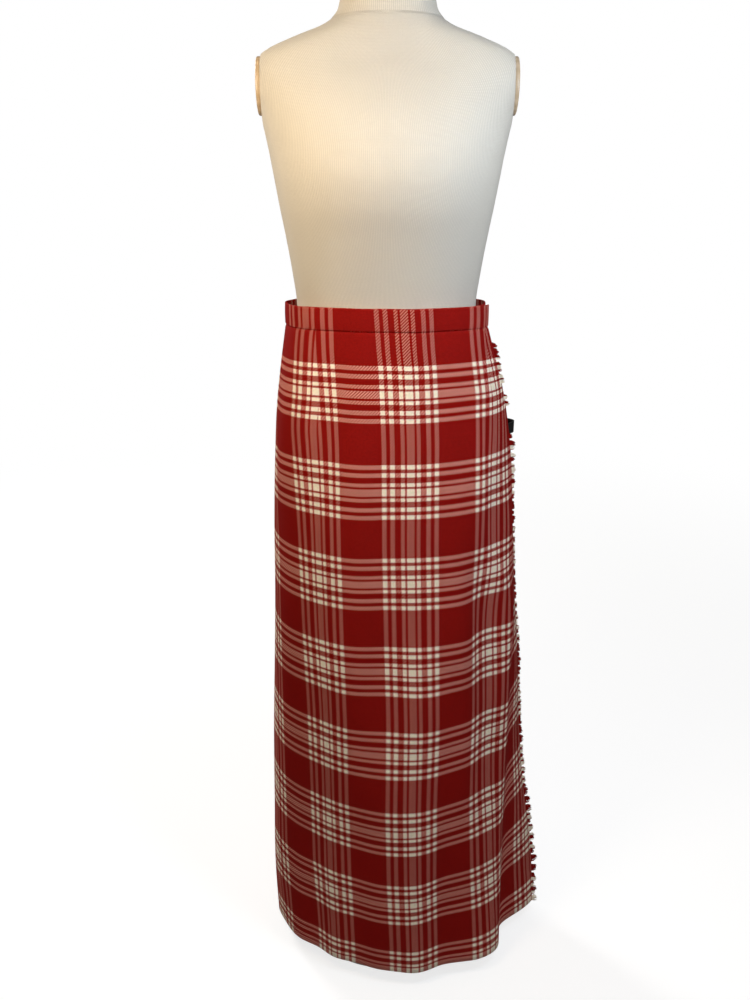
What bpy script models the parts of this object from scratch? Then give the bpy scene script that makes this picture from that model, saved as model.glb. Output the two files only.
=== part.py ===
"""A full length wrapped kilt of plaid cloth, standing on the dress form that carries it.

Metres, +Z up, +X to the right seen from the front, the front faces -Y. The origin is the middle
of the base's underside. Each cloth piece is an open sheet that is given its wall by Solidify.
Angles are turns about the form's axis: 0 is the front, positive to the right seen from the front.
"""

import math

import bmesh
import bpy
import numpy as np
from mathutils import Matrix, Vector

MM = 0.001

# Heights above the floor
HEM_HEIGHT = 30 * MM
CLOTH_LENGTH = 980 * MM
SEAM_HEIGHT = HEM_HEIGHT + CLOTH_LENGTH
BAND_HEIGHT = 29 * MM
SEAM_GAP = 0.3 * MM
BAND_GAP = 0.45 * MM

# The outer front, a row for each level down from the waist seam, millimetres and degrees. Each
# column but drop, back and those named turn is the cloth's distance from the axis: the first
# seven at FRONT_TURNS, the shoulder a little before the ridge, and the rest at their own turns.
SECTIONS = (
    # drop left left65 left40 left20 front right20 right40 shoulder ridge ridge_turn
    # valley valley_turn edge edge_turn back
    (0, 138, 127, 101, 94, 89, 99, 106, 124, 135, 67, 137.5, 71.5, 139.5, 76, 100),
    (50, 146, 134, 107, 100, 95, 104, 112, 129, 141, 67, 147, 73, 153, 79, 108),
    (110, 154, 142, 115, 109, 103, 110, 120, 137, 150, 67, 160, 77, 168, 87, 120),
    (190, 160, 149, 127, 122, 114, 120, 132, 150, 159, 67, 169, 76, 180, 85.5, 133),
    (290, 165, 154, 139, 133, 124, 130, 145, 158, 166, 64, 185, 79, 188, 88, 138),
    (400, 168, 160, 147, 142, 134, 144, 159, 169, 191, 71, 193, 84, 199, 93, 140),
    (520, 173, 167, 153, 152, 147, 161, 169, 177, 196, 67, 197, 79, 211, 92.5, 142),
    (640, 178, 173, 158, 158, 163, 170, 177, 184, 200, 65, 199, 76, 219, 91.5, 145),
    (760, 180, 178, 161, 161, 170, 176, 183, 193, 204, 60, 203, 72, 232, 89.5, 148),
    (870, 180, 183, 163, 163, 171, 177, 189, 201, 211, 58, 204, 70.5, 250, 89, 151),
    (980, 176, 182, 163, 162, 168, 179, 197, 208, 220, 54.5, 208, 67.5, 257, 84.5, 154),
)
FRONT_TURNS = (-90.0, -65.0, -40.0, -20.0, 0.0, 20.0, 40.0)
SHOULDER_BEFORE = 9.0

# Cloth
CLOTH_WALL = 1.0 * MM
BAND_WALL = 2.2 * MM
UNDER_GAP = 4 * MM
RIGHT_SQUARENESS = 2.6
RIGHT_EASE = (66.0, 110.0)
UNDER_APRON_END = -62.0
UNDER_FADE_TURN = 30.0
APRON_COLUMNS = 37
UNDER_STEP = 7.0

# Knife pleats: each shows one width and folds back under by two widths
PLEATS = 16
FIRST_FOLD = -97.0
LAST_FOLD = 64.0 - 360.0
FOLD_WIDTHS = 2
LAYER_AT_SEAM = 1.40 * MM
LAYER_AT_HEM = 2.30 * MM

# Waistband
BAND_UNDER_DROP = 4.4 * MM
BAND_BACK_DROP = 1.2 * MM
BAND_END_TURN = 74.0
BAND_STEP = 6.0

# Fringe down the over-apron's free edge
LOCKS = 98
LOCK_SHARE = 0.68
STRIP_WIDTH = 2.6 * MM
STRIP_THICK = 1.3 * MM
LOCK_LENGTH = 10.5 * MM
LOCK_LEAST = 0.80
LOCK_SPREAD = 0.32
LOCK_SPLAY = 0.9
LOCK_DROOP = 3.5 * MM
FRINGE_TOP_DROP = 16 * MM
LOCK_TAPER = (0.8, 0.8, 0.5)
BARE_STRETCHES = ((80 * MM, 100 * MM), (114 * MM, 150 * MM))
EDGE_PROBE = 3.0

# Leather fastening at the right hip
STRAP_DROP = 150 * MM
STRAP_WIDTH = 16 * MM
STRAP_WALL = 2.0 * MM
STRAP_UNDER = 3.8 * MM
STRAP_LIFT = 4.8 * MM
STRAP_SEWN_TURNS = (73.0, 77.0, 81.0)
STRAP_BOW = (
    # turn, distance from the axis in millimetres
    (85.0, 168.0),
    (88.2, 171.0),
    (91.0, 177.5),
    (93.5, 183.5),
    (96.5, 187.0),
    (99.5, 184.0),
    (102.5, 176.5),
    (105.5, 168.5),
)
STRAP_TAIL_TURNS = (109.0, 113.0, 117.0, 121.0, 125.0, 129.0, 133.0)
CHAPE_TURNS = (111.0, 115.0, 119.0, 123.0, 127.0)
CHAPE_LIFT = 2.7 * MM
CHAPE_WALL = 1.4 * MM
CHAPE_WIDTH = 20 * MM
BUCKLE_TURN = 116.0
BUCKLE_ROD = 1.5 * MM
BUCKLE_HALF = (9 * MM, 11 * MM)
BUCKLE_CORNER = 3 * MM
PRONG_ROD = 1.0 * MM

# Dress form, a row for each section, millimetres
FORM_SECTIONS = (
    # height half_width front back
    (704, 132, 96, 104),
    (712, 138, 102, 111),
    (750, 144, 107, 119),
    (820, 143.5, 106, 119),
    (880, 139, 99, 109.5),
    (930, 133.5, 92, 100.5),
    (975, 127, 86, 92.5),
    (1010, 122.5, 82.6, 88),
    (1042, 122, 82.6, 87),
    (1075, 126, 90, 90),
    (1120, 133, 105, 95),
    (1165, 141, 123, 99),
    (1195, 146, 129, 102),
    (1235, 153, 123, 106),
    (1275, 162, 104, 108),
    (1305, 170, 84, 101),
    (1328, 169, 68, 88),
    (1345, 152, 60, 76),
    (1360, 116, 55, 68),
    (1372, 82, 52, 62),
    (1385, 65, 50, 58),
    (1400, 59, 49, 55),
    (1440, 57, 49, 53),
)
FORM_COLUMNS = 40
FORM_SQUARENESS = 2.05
ARM_PLANE = 157 * MM
ARM_PLATE_HEIGHT = 1305 * MM
ARM_PLATE_HALF = (28 * MM, 34 * MM)
ARM_PLATE_THICK = 6 * MM
CAP_RISE = 12 * MM
POLE_RADIUS = 12.5 * MM
POLE_FLANGE = (34 * MM, 9 * MM)
BASE_RADIUS = 138 * MM
BASE_THICK = 12 * MM

FINISHES = {
    # name: colour, roughness, metallic
    "plaid": ((0.42, 0.018, 0.028), 0.85, 0.0),
    "plaid_band": ((0.46, 0.024, 0.034), 0.85, 0.0),
    "plaid_fringe": ((0.40, 0.03, 0.04), 0.9, 0.0),
    "black_leather": ((0.012, 0.011, 0.010), 0.45, 0.0),
    "dull_steel": ((0.55, 0.54, 0.52), 0.35, 1.0),
    "form_jersey": ((0.80, 0.76, 0.68), 0.9, 0.0),
    "form_wood": ((0.62, 0.50, 0.36), 0.5, 0.0),
    "form_metal": ((0.78, 0.77, 0.74), 0.4, 0.6),
}


def clear_scene():
    """Removes the startup objects."""
    for obj in list(bpy.data.objects):
        bpy.data.objects.remove(obj)


def finish(name):
    """The Principled material of this name."""
    material = bpy.data.materials.get(name)
    if material:
        return material
    colour, roughness, metallic = FINISHES[name]
    material = bpy.data.materials.new(name)
    material.use_nodes = True
    shader = material.node_tree.nodes["Principled BSDF"]
    shader.inputs["Base Color"].default_value = (*colour, 1.0)
    shader.inputs["Roughness"].default_value = roughness
    shader.inputs["Metallic"].default_value = metallic
    material.diffuse_color = (*colour, 1.0)
    return material


def add_object(name, mesh, material_name):
    """Links a mesh as a named object of the kilt's collection."""
    mesh.name = name
    obj = bpy.data.objects.new(name, mesh)
    mesh.materials.append(finish(material_name))
    PARTS.objects.link(obj)
    return obj


def hermite(knots, values, at):
    """A smooth curve through the knots, with slopes taken across each knot's neighbours."""
    knots = np.asarray(knots, float)
    values = np.asarray(values, float)
    slopes = np.gradient(values, knots)
    at = np.clip(at, knots[0], knots[-1])
    span = np.clip(np.searchsorted(knots, at, side="right") - 1, 0, len(knots) - 2)
    width = knots[span + 1] - knots[span]
    t = (at - knots[span]) / width
    return (
        values[span] * (2 * t**3 - 3 * t**2 + 1)
        + slopes[span] * width * (t**3 - 2 * t**2 + t)
        + values[span + 1] * (3 * t**2 - 2 * t**3)
        + slopes[span + 1] * width * (t**3 - t**2)
    )


def oval_radius(turn, half_width, depth, squareness=2.0):
    """Distance from the axis to a rounded oval, at a turn in degrees."""
    across = np.abs(np.sin(np.radians(turn))) / half_width
    along = np.abs(np.cos(np.radians(turn))) / depth
    return (across**squareness + along**squareness) ** (-1 / squareness)


class Section:
    """The garment's outline at one level, worked out from one row of SECTIONS."""

    def __init__(self, row):
        self.drop = row[0] * MM
        self.height = SEAM_HEIGHT - self.drop
        ridge_turn, valley_turn, edge_turn = row[10], row[12], row[14]
        self.turns = (*FRONT_TURNS, ridge_turn - SHOULDER_BEFORE, ridge_turn, valley_turn, edge_turn)
        self.radii = [value * MM for value in (*row[1:10], row[11], row[13])]
        self.edge_turn = edge_turn
        self.side = row[1] * MM
        self.back = row[15] * MM
        share = self.drop / CLOTH_LENGTH
        self.layer = LAYER_AT_SEAM + (LAYER_AT_HEM - LAYER_AT_SEAM) * share
        self.fold_turns = self.make_fold_turns()

    def over(self, turn):
        """The over-apron's distance from the axis."""
        return hermite(self.turns, self.radii, turn)

    def hull(self, turn):
        """The outline that the pleats and the under-apron keep to, inside the over-apron."""
        turn = (np.asarray(turn, float) + 180.0) % 360.0 - 180.0
        back = oval_radius(turn, self.side, self.back)
        inside = self.over(turn) - UNDER_GAP
        front_depth = self.over(0.0) - UNDER_GAP
        right = np.minimum(
            inside, oval_radius(turn, self.side - UNDER_GAP, front_depth, RIGHT_SQUARENESS)
        )
        # The right side eases from the front's outline into the back's oval
        ease = np.clip((turn - RIGHT_EASE[0]) / (RIGHT_EASE[1] - RIGHT_EASE[0]), 0.0, 1.0)
        ease = ease * ease * (3 - 2 * ease)
        right = right * (1 - ease) + np.minimum(back, self.side - UNDER_GAP * (1 - ease)) * ease
        left = np.where(turn < FRONT_TURNS[0], back, self.over(turn))
        return np.where(turn >= 0, right, left)

    def make_fold_turns(self):
        """Turns of the fold stations, evenly spaced in cloth round the back."""
        turns = np.linspace(UNDER_APRON_END, LAST_FOLD, 900)
        radii = self.hull(turns)
        x, y = radii * np.sin(np.radians(turns)), radii * np.cos(np.radians(turns))
        run = np.concatenate([[0.0], np.cumsum(np.hypot(np.diff(x), np.diff(y)))])
        start = np.interp(-FIRST_FOLD, -turns, run)
        self.pleat_width = (run[-1] - start) / PLEATS
        stations = start + self.pleat_width * np.arange(-FOLD_WIDTHS, PLEATS + 1)
        return np.interp(stations, run, turns)

    def station(self, number, depth):
        """(turn, radius) of a fold station, this deep under the outermost layer."""
        turn = self.fold_turns[number + FOLD_WIDTHS]
        lift = 2 * self.layer * max(0, -number)
        return turn, float(self.hull(turn)) + lift - depth

    def point(self, turn, radius):
        """The place of a turn and a radius at this level."""
        angle = math.radians(turn)
        return radius * math.sin(angle), -radius * math.cos(angle), self.height


def section_at(drop):
    """The outline at any level, as straight between the rows as the sheets are."""
    table = np.array(SECTIONS, float)
    row = [np.interp(drop / MM, table[:, 0], table[:, column]) for column in range(table.shape[1])]
    return Section(row)


def turns_between(first, last, step):
    """Evenly spaced turns from first to last, near this step."""
    count = max(2, round(abs(last - first) / step) + 1)
    return np.linspace(first, last, count)


def lay_sheet(name, rows, wall, material_name):
    """An open sheet through rows of points, top to bottom, given its wall by Solidify."""
    mesh = bpy.data.meshes.new(name)
    sheet = bmesh.new()
    grid = [[sheet.verts.new(point) for point in row] for row in rows]
    for upper, lower in zip(grid, grid[1:]):
        for left in range(len(upper) - 1):
            a, b = upper[left], upper[left + 1]
            c, d = lower[left + 1], lower[left]
            # Layers that run back under a fold split their faces the same way as those above
            run = math.atan2(a.co.x, -a.co.y) - math.atan2(b.co.x, -b.co.y)
            if (run + math.pi) % (2 * math.pi) - math.pi > 0:
                sheet.faces.new((a, b, c))
                sheet.faces.new((a, c, d))
            else:
                sheet.faces.new((a, b, d))
                sheet.faces.new((b, c, d))
    sheet.normal_update()
    sheet.to_mesh(mesh)
    sheet.free()
    mesh.shade_smooth()
    obj = add_object(name, mesh, material_name)
    thickness = obj.modifiers.new("wall", "SOLIDIFY")
    thickness.thickness = wall
    thickness.offset = 0
    thickness.use_even_offset = True
    return obj


def over_apron():
    """The flat front, from its fringed edge to the left hip, where it folds under."""
    rows = []
    for section in LEVELS:
        turns = np.linspace(section.edge_turn, FIRST_FOLD, APRON_COLUMNS)
        row = [section.point(turn, float(section.hull(turn) if turn < -90 else section.over(turn)))
               for turn in turns[:-1]]
        row += [section.point(*section.station(0, 0.0))]
        row += [section.point(*section.station(-k, section.layer * (1 + 2 * k)))
                for k in range(FOLD_WIDTHS + 1)]
        rows.append(row)
    return lay_sheet("over_apron", rows, CLOTH_WALL, "plaid")


def pleated_back():
    """The knife pleats, one continuous wall folded to and fro round the back."""
    rows = []
    for section in LEVELS:
        row = []
        for pleat in range(1, PLEATS + 1):
            for station in range(pleat - 1 - FOLD_WIDTHS, pleat + 1):
                depth = 2 * section.layer * (pleat - station)
                row.append(section.point(*section.station(station, depth)))
            for station in range(pleat, pleat - 1 - FOLD_WIDTHS, -1):
                depth = section.layer * (1 + 2 * (pleat - station))
                row.append(section.point(*section.station(station, depth)))
        rows.append(row)
    return lay_sheet("pleated_back", rows, CLOTH_WALL, "plaid")


def under_apron():
    """The flat panel that comes out of the last pleat and lies under the over-apron."""
    rows = []
    right_turns = turns_between(LAST_FOLD + 360.0, UNDER_APRON_END, UNDER_STEP)
    for section in LEVELS:
        row = []
        for station in range(PLEATS - FOLD_WIDTHS, PLEATS):
            depth = 2 * section.layer * (PLEATS + 1 - station)
            row.append(section.point(*section.station(station, depth)))
        for turn in right_turns:
            share = (turn - UNDER_FADE_TURN) / (right_turns[0] - UNDER_FADE_TURN)
            depth = 2 * section.layer * min(1.0, max(0.0, share))
            left_gap = UNDER_GAP if turn < 0 else 0.0
            row.append(section.point(turn, float(section.hull(turn)) - depth - left_gap))
        rows.append(row)
    return lay_sheet("under_apron", rows, CLOTH_WALL, "plaid")


def waistband():
    """One strip that wraps over the under-apron, the pleats and the over-apron."""
    section = LEVELS[0]
    path = []
    for turn in turns_between(UNDER_APRON_END, LAST_FOLD + 360.0, BAND_STEP):
        path.append((turn, float(section.over(turn)) - BAND_UNDER_DROP))
    for turn in turns_between(LAST_FOLD + 360.0, FIRST_FOLD + 360.0, BAND_STEP)[2:-1]:
        path.append((turn, float(section.hull(turn)) - BAND_BACK_DROP))
    for turn in turns_between(FIRST_FOLD, BAND_END_TURN, BAND_STEP):
        outer = section.hull(turn) if turn < -90 else section.over(turn)
        path.append((turn, float(outer)))
    rows = []
    for height in (SEAM_HEIGHT + BAND_HEIGHT, SEAM_HEIGHT + BAND_GAP):
        rows.append([(*section.point(turn, radius)[:2], height) for turn, radius in path])
    return lay_sheet("waistband", rows, BAND_WALL, "plaid_band")


def edge_frame(drop):
    """The over-apron's free edge at a level: its place, and the way the cloth runs off it."""
    section = section_at(drop)
    near = np.array(section.point(section.edge_turn, section.radii[-1]))
    inner_turn = section.edge_turn - EDGE_PROBE
    inner = np.array(section.point(inner_turn, float(section.over(inner_turn))))
    run = near - inner
    return near, run / np.linalg.norm(run)


def apron_fringe():
    """The narrow strip beside the over-apron's free edge, with its locks splayed outwards."""
    mesh = bpy.data.meshes.new("apron_fringe")
    strip = bmesh.new()
    pitch = (CLOTH_LENGTH - FRINGE_TOP_DROP) / LOCKS
    drops = []
    for lock in range(LOCKS):
        start = FRINGE_TOP_DROP + lock * pitch
        drops += [start, start + LOCK_SHARE * pitch]
    rings = []
    for drop in drops:
        near, run = edge_frame(drop)
        across = np.array((-run[1], run[0], 0.0))
        root = near + run * (CLOTH_WALL / 2 + SEAM_GAP)
        rim = root + run * STRIP_WIDTH
        half = across * STRIP_THICK / 2
        rings.append([strip.verts.new(p) for p in (root - half, root + half, rim + half, rim - half)])
    strip.faces.new(rings[0])
    strip.faces.new(rings[-1])
    lock_faces = []
    for number, (upper, lower) in enumerate(zip(rings, rings[1:])):
        for side in range(4):
            after = (side + 1) % 4
            face = strip.faces.new((upper[side], upper[after], lower[after], lower[side]))
            if side == 2 and number % 2 == 0:
                lock_faces.append((number, face))
    for number, face in lock_faces:
        if any(start < drops[number] < end for start, end in BARE_STRETCHES):
            continue
        run = Vector(edge_frame(drops[number])[1])
        outward = Vector((run.y, -run.x, 0.0))
        along = (run + LOCK_SPLAY * outward).normalized()
        uneven = math.sin(2.3 * number) * math.cos(0.7 * number)
        reach = LOCK_LENGTH * (LOCK_LEAST + LOCK_SPREAD * uneven)
        droop = LOCK_DROOP * (1 + 0.6 * math.sin(1.1 * number))
        tip = bmesh.ops.extrude_discrete_faces(strip, faces=[face])["faces"][0]
        corners = list(tip.verts)
        from_middle = Matrix.Translation(-tip.calc_center_median())
        bmesh.ops.scale(strip, vec=LOCK_TAPER, verts=corners, space=from_middle)
        bmesh.ops.translate(strip, vec=along * reach - Vector((0, 0, droop)), verts=corners)
    bmesh.ops.recalc_face_normals(strip, faces=strip.faces)
    strip.to_mesh(mesh)
    strip.free()
    return add_object("apron_fringe", mesh, "plaid_fringe")


def hip_path(turns, lift, section):
    """Points round the pleats at a level, this far outside their folds."""
    return [(turn, float(section.hull(turn)) + lift) for turn in turns]


def lay_band(name, path, section, width, wall, material_name):
    """A flat strap that stands on edge round the garment, through (turn, radius) points."""
    rows = []
    for height in (section.height + width / 2, section.height - width / 2):
        rows.append([(*section.point(turn, radius)[:2], height) for turn, radius in path])
    return lay_sheet(name, rows, wall, material_name)


def hip_strap():
    """The black strap: sewn inside the free edge, standing off the hip, then through the buckle."""
    section = section_at(STRAP_DROP)
    under = [(turn, float(section.over(turn)) - STRAP_UNDER) for turn in STRAP_SEWN_TURNS]
    bow = [(turn, radius * MM) for turn, radius in STRAP_BOW]
    tail = hip_path(STRAP_TAIL_TURNS, STRAP_LIFT, section)
    return lay_band(
        "hip_strap", under + bow + tail, section, STRAP_WIDTH, STRAP_WALL, "black_leather"
    )


def buckle_chape():
    """The leather tab sewn to the pleats, which holds the buckle under the strap's tail."""
    section = section_at(STRAP_DROP)
    path = hip_path(CHAPE_TURNS, CHAPE_LIFT, section)
    return lay_band("buckle_chape", path, section, CHAPE_WIDTH, CHAPE_WALL, "black_leather")


def buckle_place():
    """The matrix that lays the buckle on the strap: its X runs round the hip, its Y is up."""
    section = section_at(STRAP_DROP)
    lift = STRAP_LIFT + STRAP_WALL / 2 + SEAM_GAP + BUCKLE_ROD
    radius = float(section.hull(BUCKLE_TURN)) + lift
    ahead = Vector(section.point(BUCKLE_TURN + 3.0, float(section.hull(BUCKLE_TURN + 3.0))))
    behind = Vector(section.point(BUCKLE_TURN - 3.0, float(section.hull(BUCKLE_TURN - 3.0))))
    along = (ahead - behind).normalized()
    up = Vector((0, 0, 1))
    turned = Matrix((along, up, along.cross(up))).transposed().to_4x4()
    return Matrix.Translation(Vector(section.point(BUCKLE_TURN, radius))) @ turned


def rod_curve(name, points, radius, cyclic):
    """A rod through points, as a curve with a round bevel."""
    curve = bpy.data.curves.new(name, "CURVE")
    curve.dimensions = "3D"
    curve.bevel_depth = radius
    curve.bevel_resolution = 2
    curve.use_fill_caps = not cyclic
    spline = curve.splines.new("POLY")
    spline.points.add(len(points) - 1)
    for place, point in zip(spline.points, points):
        place.co = (*point, 1.0)
    spline.use_cyclic_u = cyclic
    obj = bpy.data.objects.new(name, curve)
    curve.materials.append(finish("dull_steel"))
    PARTS.objects.link(obj)
    return obj


def hip_buckle():
    """The buckle's frame, a rounded rectangle of rod, and its prong across the opening."""
    place = buckle_place()
    half_long, half_tall = BUCKLE_HALF
    points = []
    for corner in range(4):
        sign_x = 1 if corner in (0, 3) else -1
        sign_y = 1 if corner < 2 else -1
        middle = Vector((sign_x * (half_long - BUCKLE_CORNER), sign_y * (half_tall - BUCKLE_CORNER), 0))
        for step in range(4):
            angle = math.radians(90 * corner + 30 * step)
            points.append(middle + BUCKLE_CORNER * Vector((math.cos(angle), math.sin(angle), 0)))
    frame = rod_curve("hip_buckle", points, BUCKLE_ROD, True)
    frame.matrix_world = place
    reach = half_long - BUCKLE_ROD - SEAM_GAP
    prong = rod_curve("buckle_prong", [(-reach, 0, 0), (reach, 0, 0)], PRONG_ROD, False)
    prong.matrix_world = place


def oval_ring(mesh, height, half_width, front, back):
    """A ring of vertices round the form at a height, millimetres."""
    ring = []
    for column in range(FORM_COLUMNS):
        turn = 360.0 * column / FORM_COLUMNS
        depth = front if math.cos(math.radians(turn)) > 0 else back
        radius = oval_radius(turn, half_width, depth, FORM_SQUARENESS) * MM
        angle = math.radians(turn)
        ring.append(
            mesh.verts.new((radius * math.sin(angle), -radius * math.cos(angle), height * MM))
        )
    return ring


def form_body():
    """The limbless torso, lofted through its sections and cut flat at each armhole."""
    mesh = bpy.data.meshes.new("form_body")
    loft = bmesh.new()
    rings = [oval_ring(loft, *row) for row in FORM_SECTIONS]
    for lower, upper in zip(rings, rings[1:]):
        for column in range(FORM_COLUMNS):
            after = (column + 1) % FORM_COLUMNS
            loft.faces.new((lower[column], lower[after], upper[after], upper[column]))
    loft.faces.new(list(reversed(rings[0])))
    loft.faces.new(rings[-1])
    for side in (-1, 1):
        geometry = loft.verts[:] + loft.edges[:] + loft.faces[:]
        cut = bmesh.ops.bisect_plane(
            loft, geom=geometry, dist=1e-6, plane_co=(side * ARM_PLANE, 0, 0),
            plane_no=(side, 0, 0), clear_outer=True,
        )
        rim = [item for item in cut["geom_cut"] if isinstance(item, bmesh.types.BMEdge)]
        bmesh.ops.holes_fill(loft, edges=rim)
    bmesh.ops.recalc_face_normals(loft, faces=loft.faces)
    loft.to_mesh(mesh)
    loft.free()
    mesh.shade_smooth()
    mesh.set_sharp_from_angle(angle=math.radians(45))
    return add_object("form_body", mesh, "form_jersey")


def turned(name, profile, material_name, steps=32):
    """A turned piece from a profile of (radius, height), outer side from top to bottom."""
    mesh = bpy.data.meshes.new(name)
    line = bmesh.new()
    places = [line.verts.new((radius, 0, height)) for radius, height in profile]
    for start, end in zip(places, places[1:]):
        line.edges.new((start, end))
    line.to_mesh(mesh)
    line.free()
    obj = add_object(name, mesh, material_name)
    screw = obj.modifiers.new("turn", "SCREW")
    screw.steps = steps
    screw.render_steps = steps
    screw.use_merge_vertices = True
    screw.merge_threshold = 0.00001
    return obj


def form_neck_cap():
    """The low turned cap on the neck, stretched to the neck's oval."""
    half_width, front, back = (value * MM for value in FORM_SECTIONS[-1][1:])
    bottom = FORM_SECTIONS[-1][0] * MM + SEAM_GAP
    profile = [
        (0.0, CAP_RISE), (0.45 * half_width, 0.92 * CAP_RISE), (0.80 * half_width, 0.68 * CAP_RISE),
        (0.97 * half_width, 0.36 * CAP_RISE), (half_width, 0.12 * CAP_RISE), (0.985 * half_width, 0.0),
        (0.0, 0.0),
    ]
    cap = turned("form_neck_cap", profile, "form_wood")
    cap.location = (0, (back - front) / 2, bottom)
    cap.scale = (1.0, (front + back) / (2 * half_width), 1.0)
    return cap


def form_arm_plate(side, name):
    """The oval plate that closes an armhole, lying just off the torso's flat cut."""
    mesh = bpy.data.meshes.new(name)
    plate = bmesh.new()
    bmesh.ops.create_cone(
        plate, cap_ends=True, segments=28, radius1=1.0, radius2=1.0, depth=ARM_PLATE_THICK
    )
    bmesh.ops.scale(plate, vec=(ARM_PLATE_HALF[1], ARM_PLATE_HALF[0], 1.0), verts=plate.verts)
    bmesh.ops.rotate(plate, matrix=Matrix.Rotation(math.radians(90), 3, "Y"), verts=plate.verts)
    plate.to_mesh(mesh)
    plate.free()
    obj = add_object(name, mesh, "form_wood")
    obj.location = (side * (ARM_PLANE + SEAM_GAP + ARM_PLATE_THICK / 2), 0.0, ARM_PLATE_HEIGHT)
    round_rim = obj.modifiers.new("rim", "BEVEL")
    round_rim.width = 1.8 * MM
    round_rim.segments = 2
    return obj


def form_stand():
    """The pole with its flange under the torso, and the low round base."""
    top = FORM_SECTIONS[0][0] * MM - SEAM_GAP
    flange_radius, flange_thick = POLE_FLANGE
    foot = BASE_THICK + SEAM_GAP
    pole = turned("form_pole", [
        (0.0, top), (flange_radius, top), (flange_radius, top - flange_thick),
        (POLE_RADIUS, top - 2 * flange_thick), (POLE_RADIUS, foot + 2 * flange_thick),
        (0.9 * flange_radius, foot + 0.6 * flange_thick), (0.9 * flange_radius, foot), (0.0, foot),
    ], "form_metal", steps=24)
    base = turned("form_base", [
        (0.0, BASE_THICK), (BASE_RADIUS - 7 * MM, BASE_THICK), (BASE_RADIUS - 1.5 * MM, 0.7 * BASE_THICK),
        (BASE_RADIUS, 0.3 * BASE_THICK), (BASE_RADIUS - 1 * MM, 0.0), (0.0, 0.0),
    ], "form_metal", steps=48)
    return pole, base


def main():
    """Builds every piece of the kilt, then the form that carries it."""
    over_apron()
    pleated_back()
    under_apron()
    waistband()
    apron_fringe()
    hip_strap()
    buckle_chape()
    hip_buckle()
    form_body()
    form_neck_cap()
    form_arm_plate(-1, "form_arm_plate_left")
    form_arm_plate(1, "form_arm_plate_right")
    form_stand()


clear_scene()
PARTS = bpy.data.collections.new("kilt_on_dress_form")
bpy.context.scene.collection.children.link(PARTS)
LEVELS = [Section(row) for row in SECTIONS]
main()
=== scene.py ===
"""Looks of a full length wrapped kilt of plaid cloth on its dress form.

Metres, +Z up, the front faces -Y. Turns are degrees about the form's axis: 0 is the front and
positive is to the right seen from the front. Drops are measured down from the waist seam.
"""

import logging
import math
from dataclasses import astuple, dataclass, field
from enum import Enum
from typing import Any, ClassVar, Sequence

import bmesh
import bpy
import numpy as np
from mathutils import Matrix, Vector


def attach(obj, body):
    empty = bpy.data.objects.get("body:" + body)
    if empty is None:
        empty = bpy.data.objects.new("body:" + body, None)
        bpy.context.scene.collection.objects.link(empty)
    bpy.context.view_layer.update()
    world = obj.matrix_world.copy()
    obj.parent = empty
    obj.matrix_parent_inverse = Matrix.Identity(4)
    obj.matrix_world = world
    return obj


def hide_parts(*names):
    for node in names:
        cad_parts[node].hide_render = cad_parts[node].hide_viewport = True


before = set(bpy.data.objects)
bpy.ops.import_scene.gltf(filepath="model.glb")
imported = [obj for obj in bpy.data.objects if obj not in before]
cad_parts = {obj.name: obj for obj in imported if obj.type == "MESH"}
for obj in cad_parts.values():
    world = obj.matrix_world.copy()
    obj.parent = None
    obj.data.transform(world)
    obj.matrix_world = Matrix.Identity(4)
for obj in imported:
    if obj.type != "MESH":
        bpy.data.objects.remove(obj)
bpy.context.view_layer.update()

LOG = logging.getLogger("kilt")
MM = 0.001
SEAM_HEIGHT = 1.010
CLOTH_LENGTH = 0.980
BODY = "root"
CUT_LAYER = "cut"

Socket = bpy.types.NodeSocket
Array = np.ndarray


class PlaidUse(Enum):
    """Where the plaid cloth is used, which decides how its yarns show."""

    WOVEN = "woven"
    LOOSE_WEFT = "loose weft"


class Held(Enum):
    """How a sheet of cloth is held."""

    DRAPED = "draped"
    FOLDED = "folded"


# Curves and noise shared by the pieces


def hermite(knots: Array, values: Array, at: Array) -> Array:
    """Reads a smooth curve through its knots.

    Args:
        knots: Increasing positions.
        values: The value at each knot.
        at: Positions to read, kept within the knots.

    Returns:
        The curve's values.
    """
    knots, values = np.asarray(knots, float), np.asarray(values, float)
    slopes = np.gradient(values, knots)
    at = np.clip(at, knots[0], knots[-1])
    span = np.clip(np.searchsorted(knots, at, side="right") - 1, 0, len(knots) - 2)
    width = knots[span + 1] - knots[span]
    t = (at - knots[span]) / width
    return (
        values[span] * (2 * t**3 - 3 * t**2 + 1)
        + slopes[span] * width * (t**3 - 2 * t**2 + t)
        + values[span + 1] * (3 * t**2 - 2 * t**3)
        + slopes[span + 1] * width * (t**3 - t**2)
    )


def ease(value: Array) -> Array:
    """Returns a smooth step from 0 to 1 as value goes from 0 to 1."""
    value = np.clip(value, 0.0, 1.0)
    return value * value * (3 - 2 * value)


def uneven(number: float, seed: float = 0.0) -> float:
    """Returns a fixed irregular value from -1 to 1 for a number."""
    return math.sin(12.9898 * number + 78.233 * seed + 1.7 * math.sin(3.1 * number + seed))


# Node trees


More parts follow.
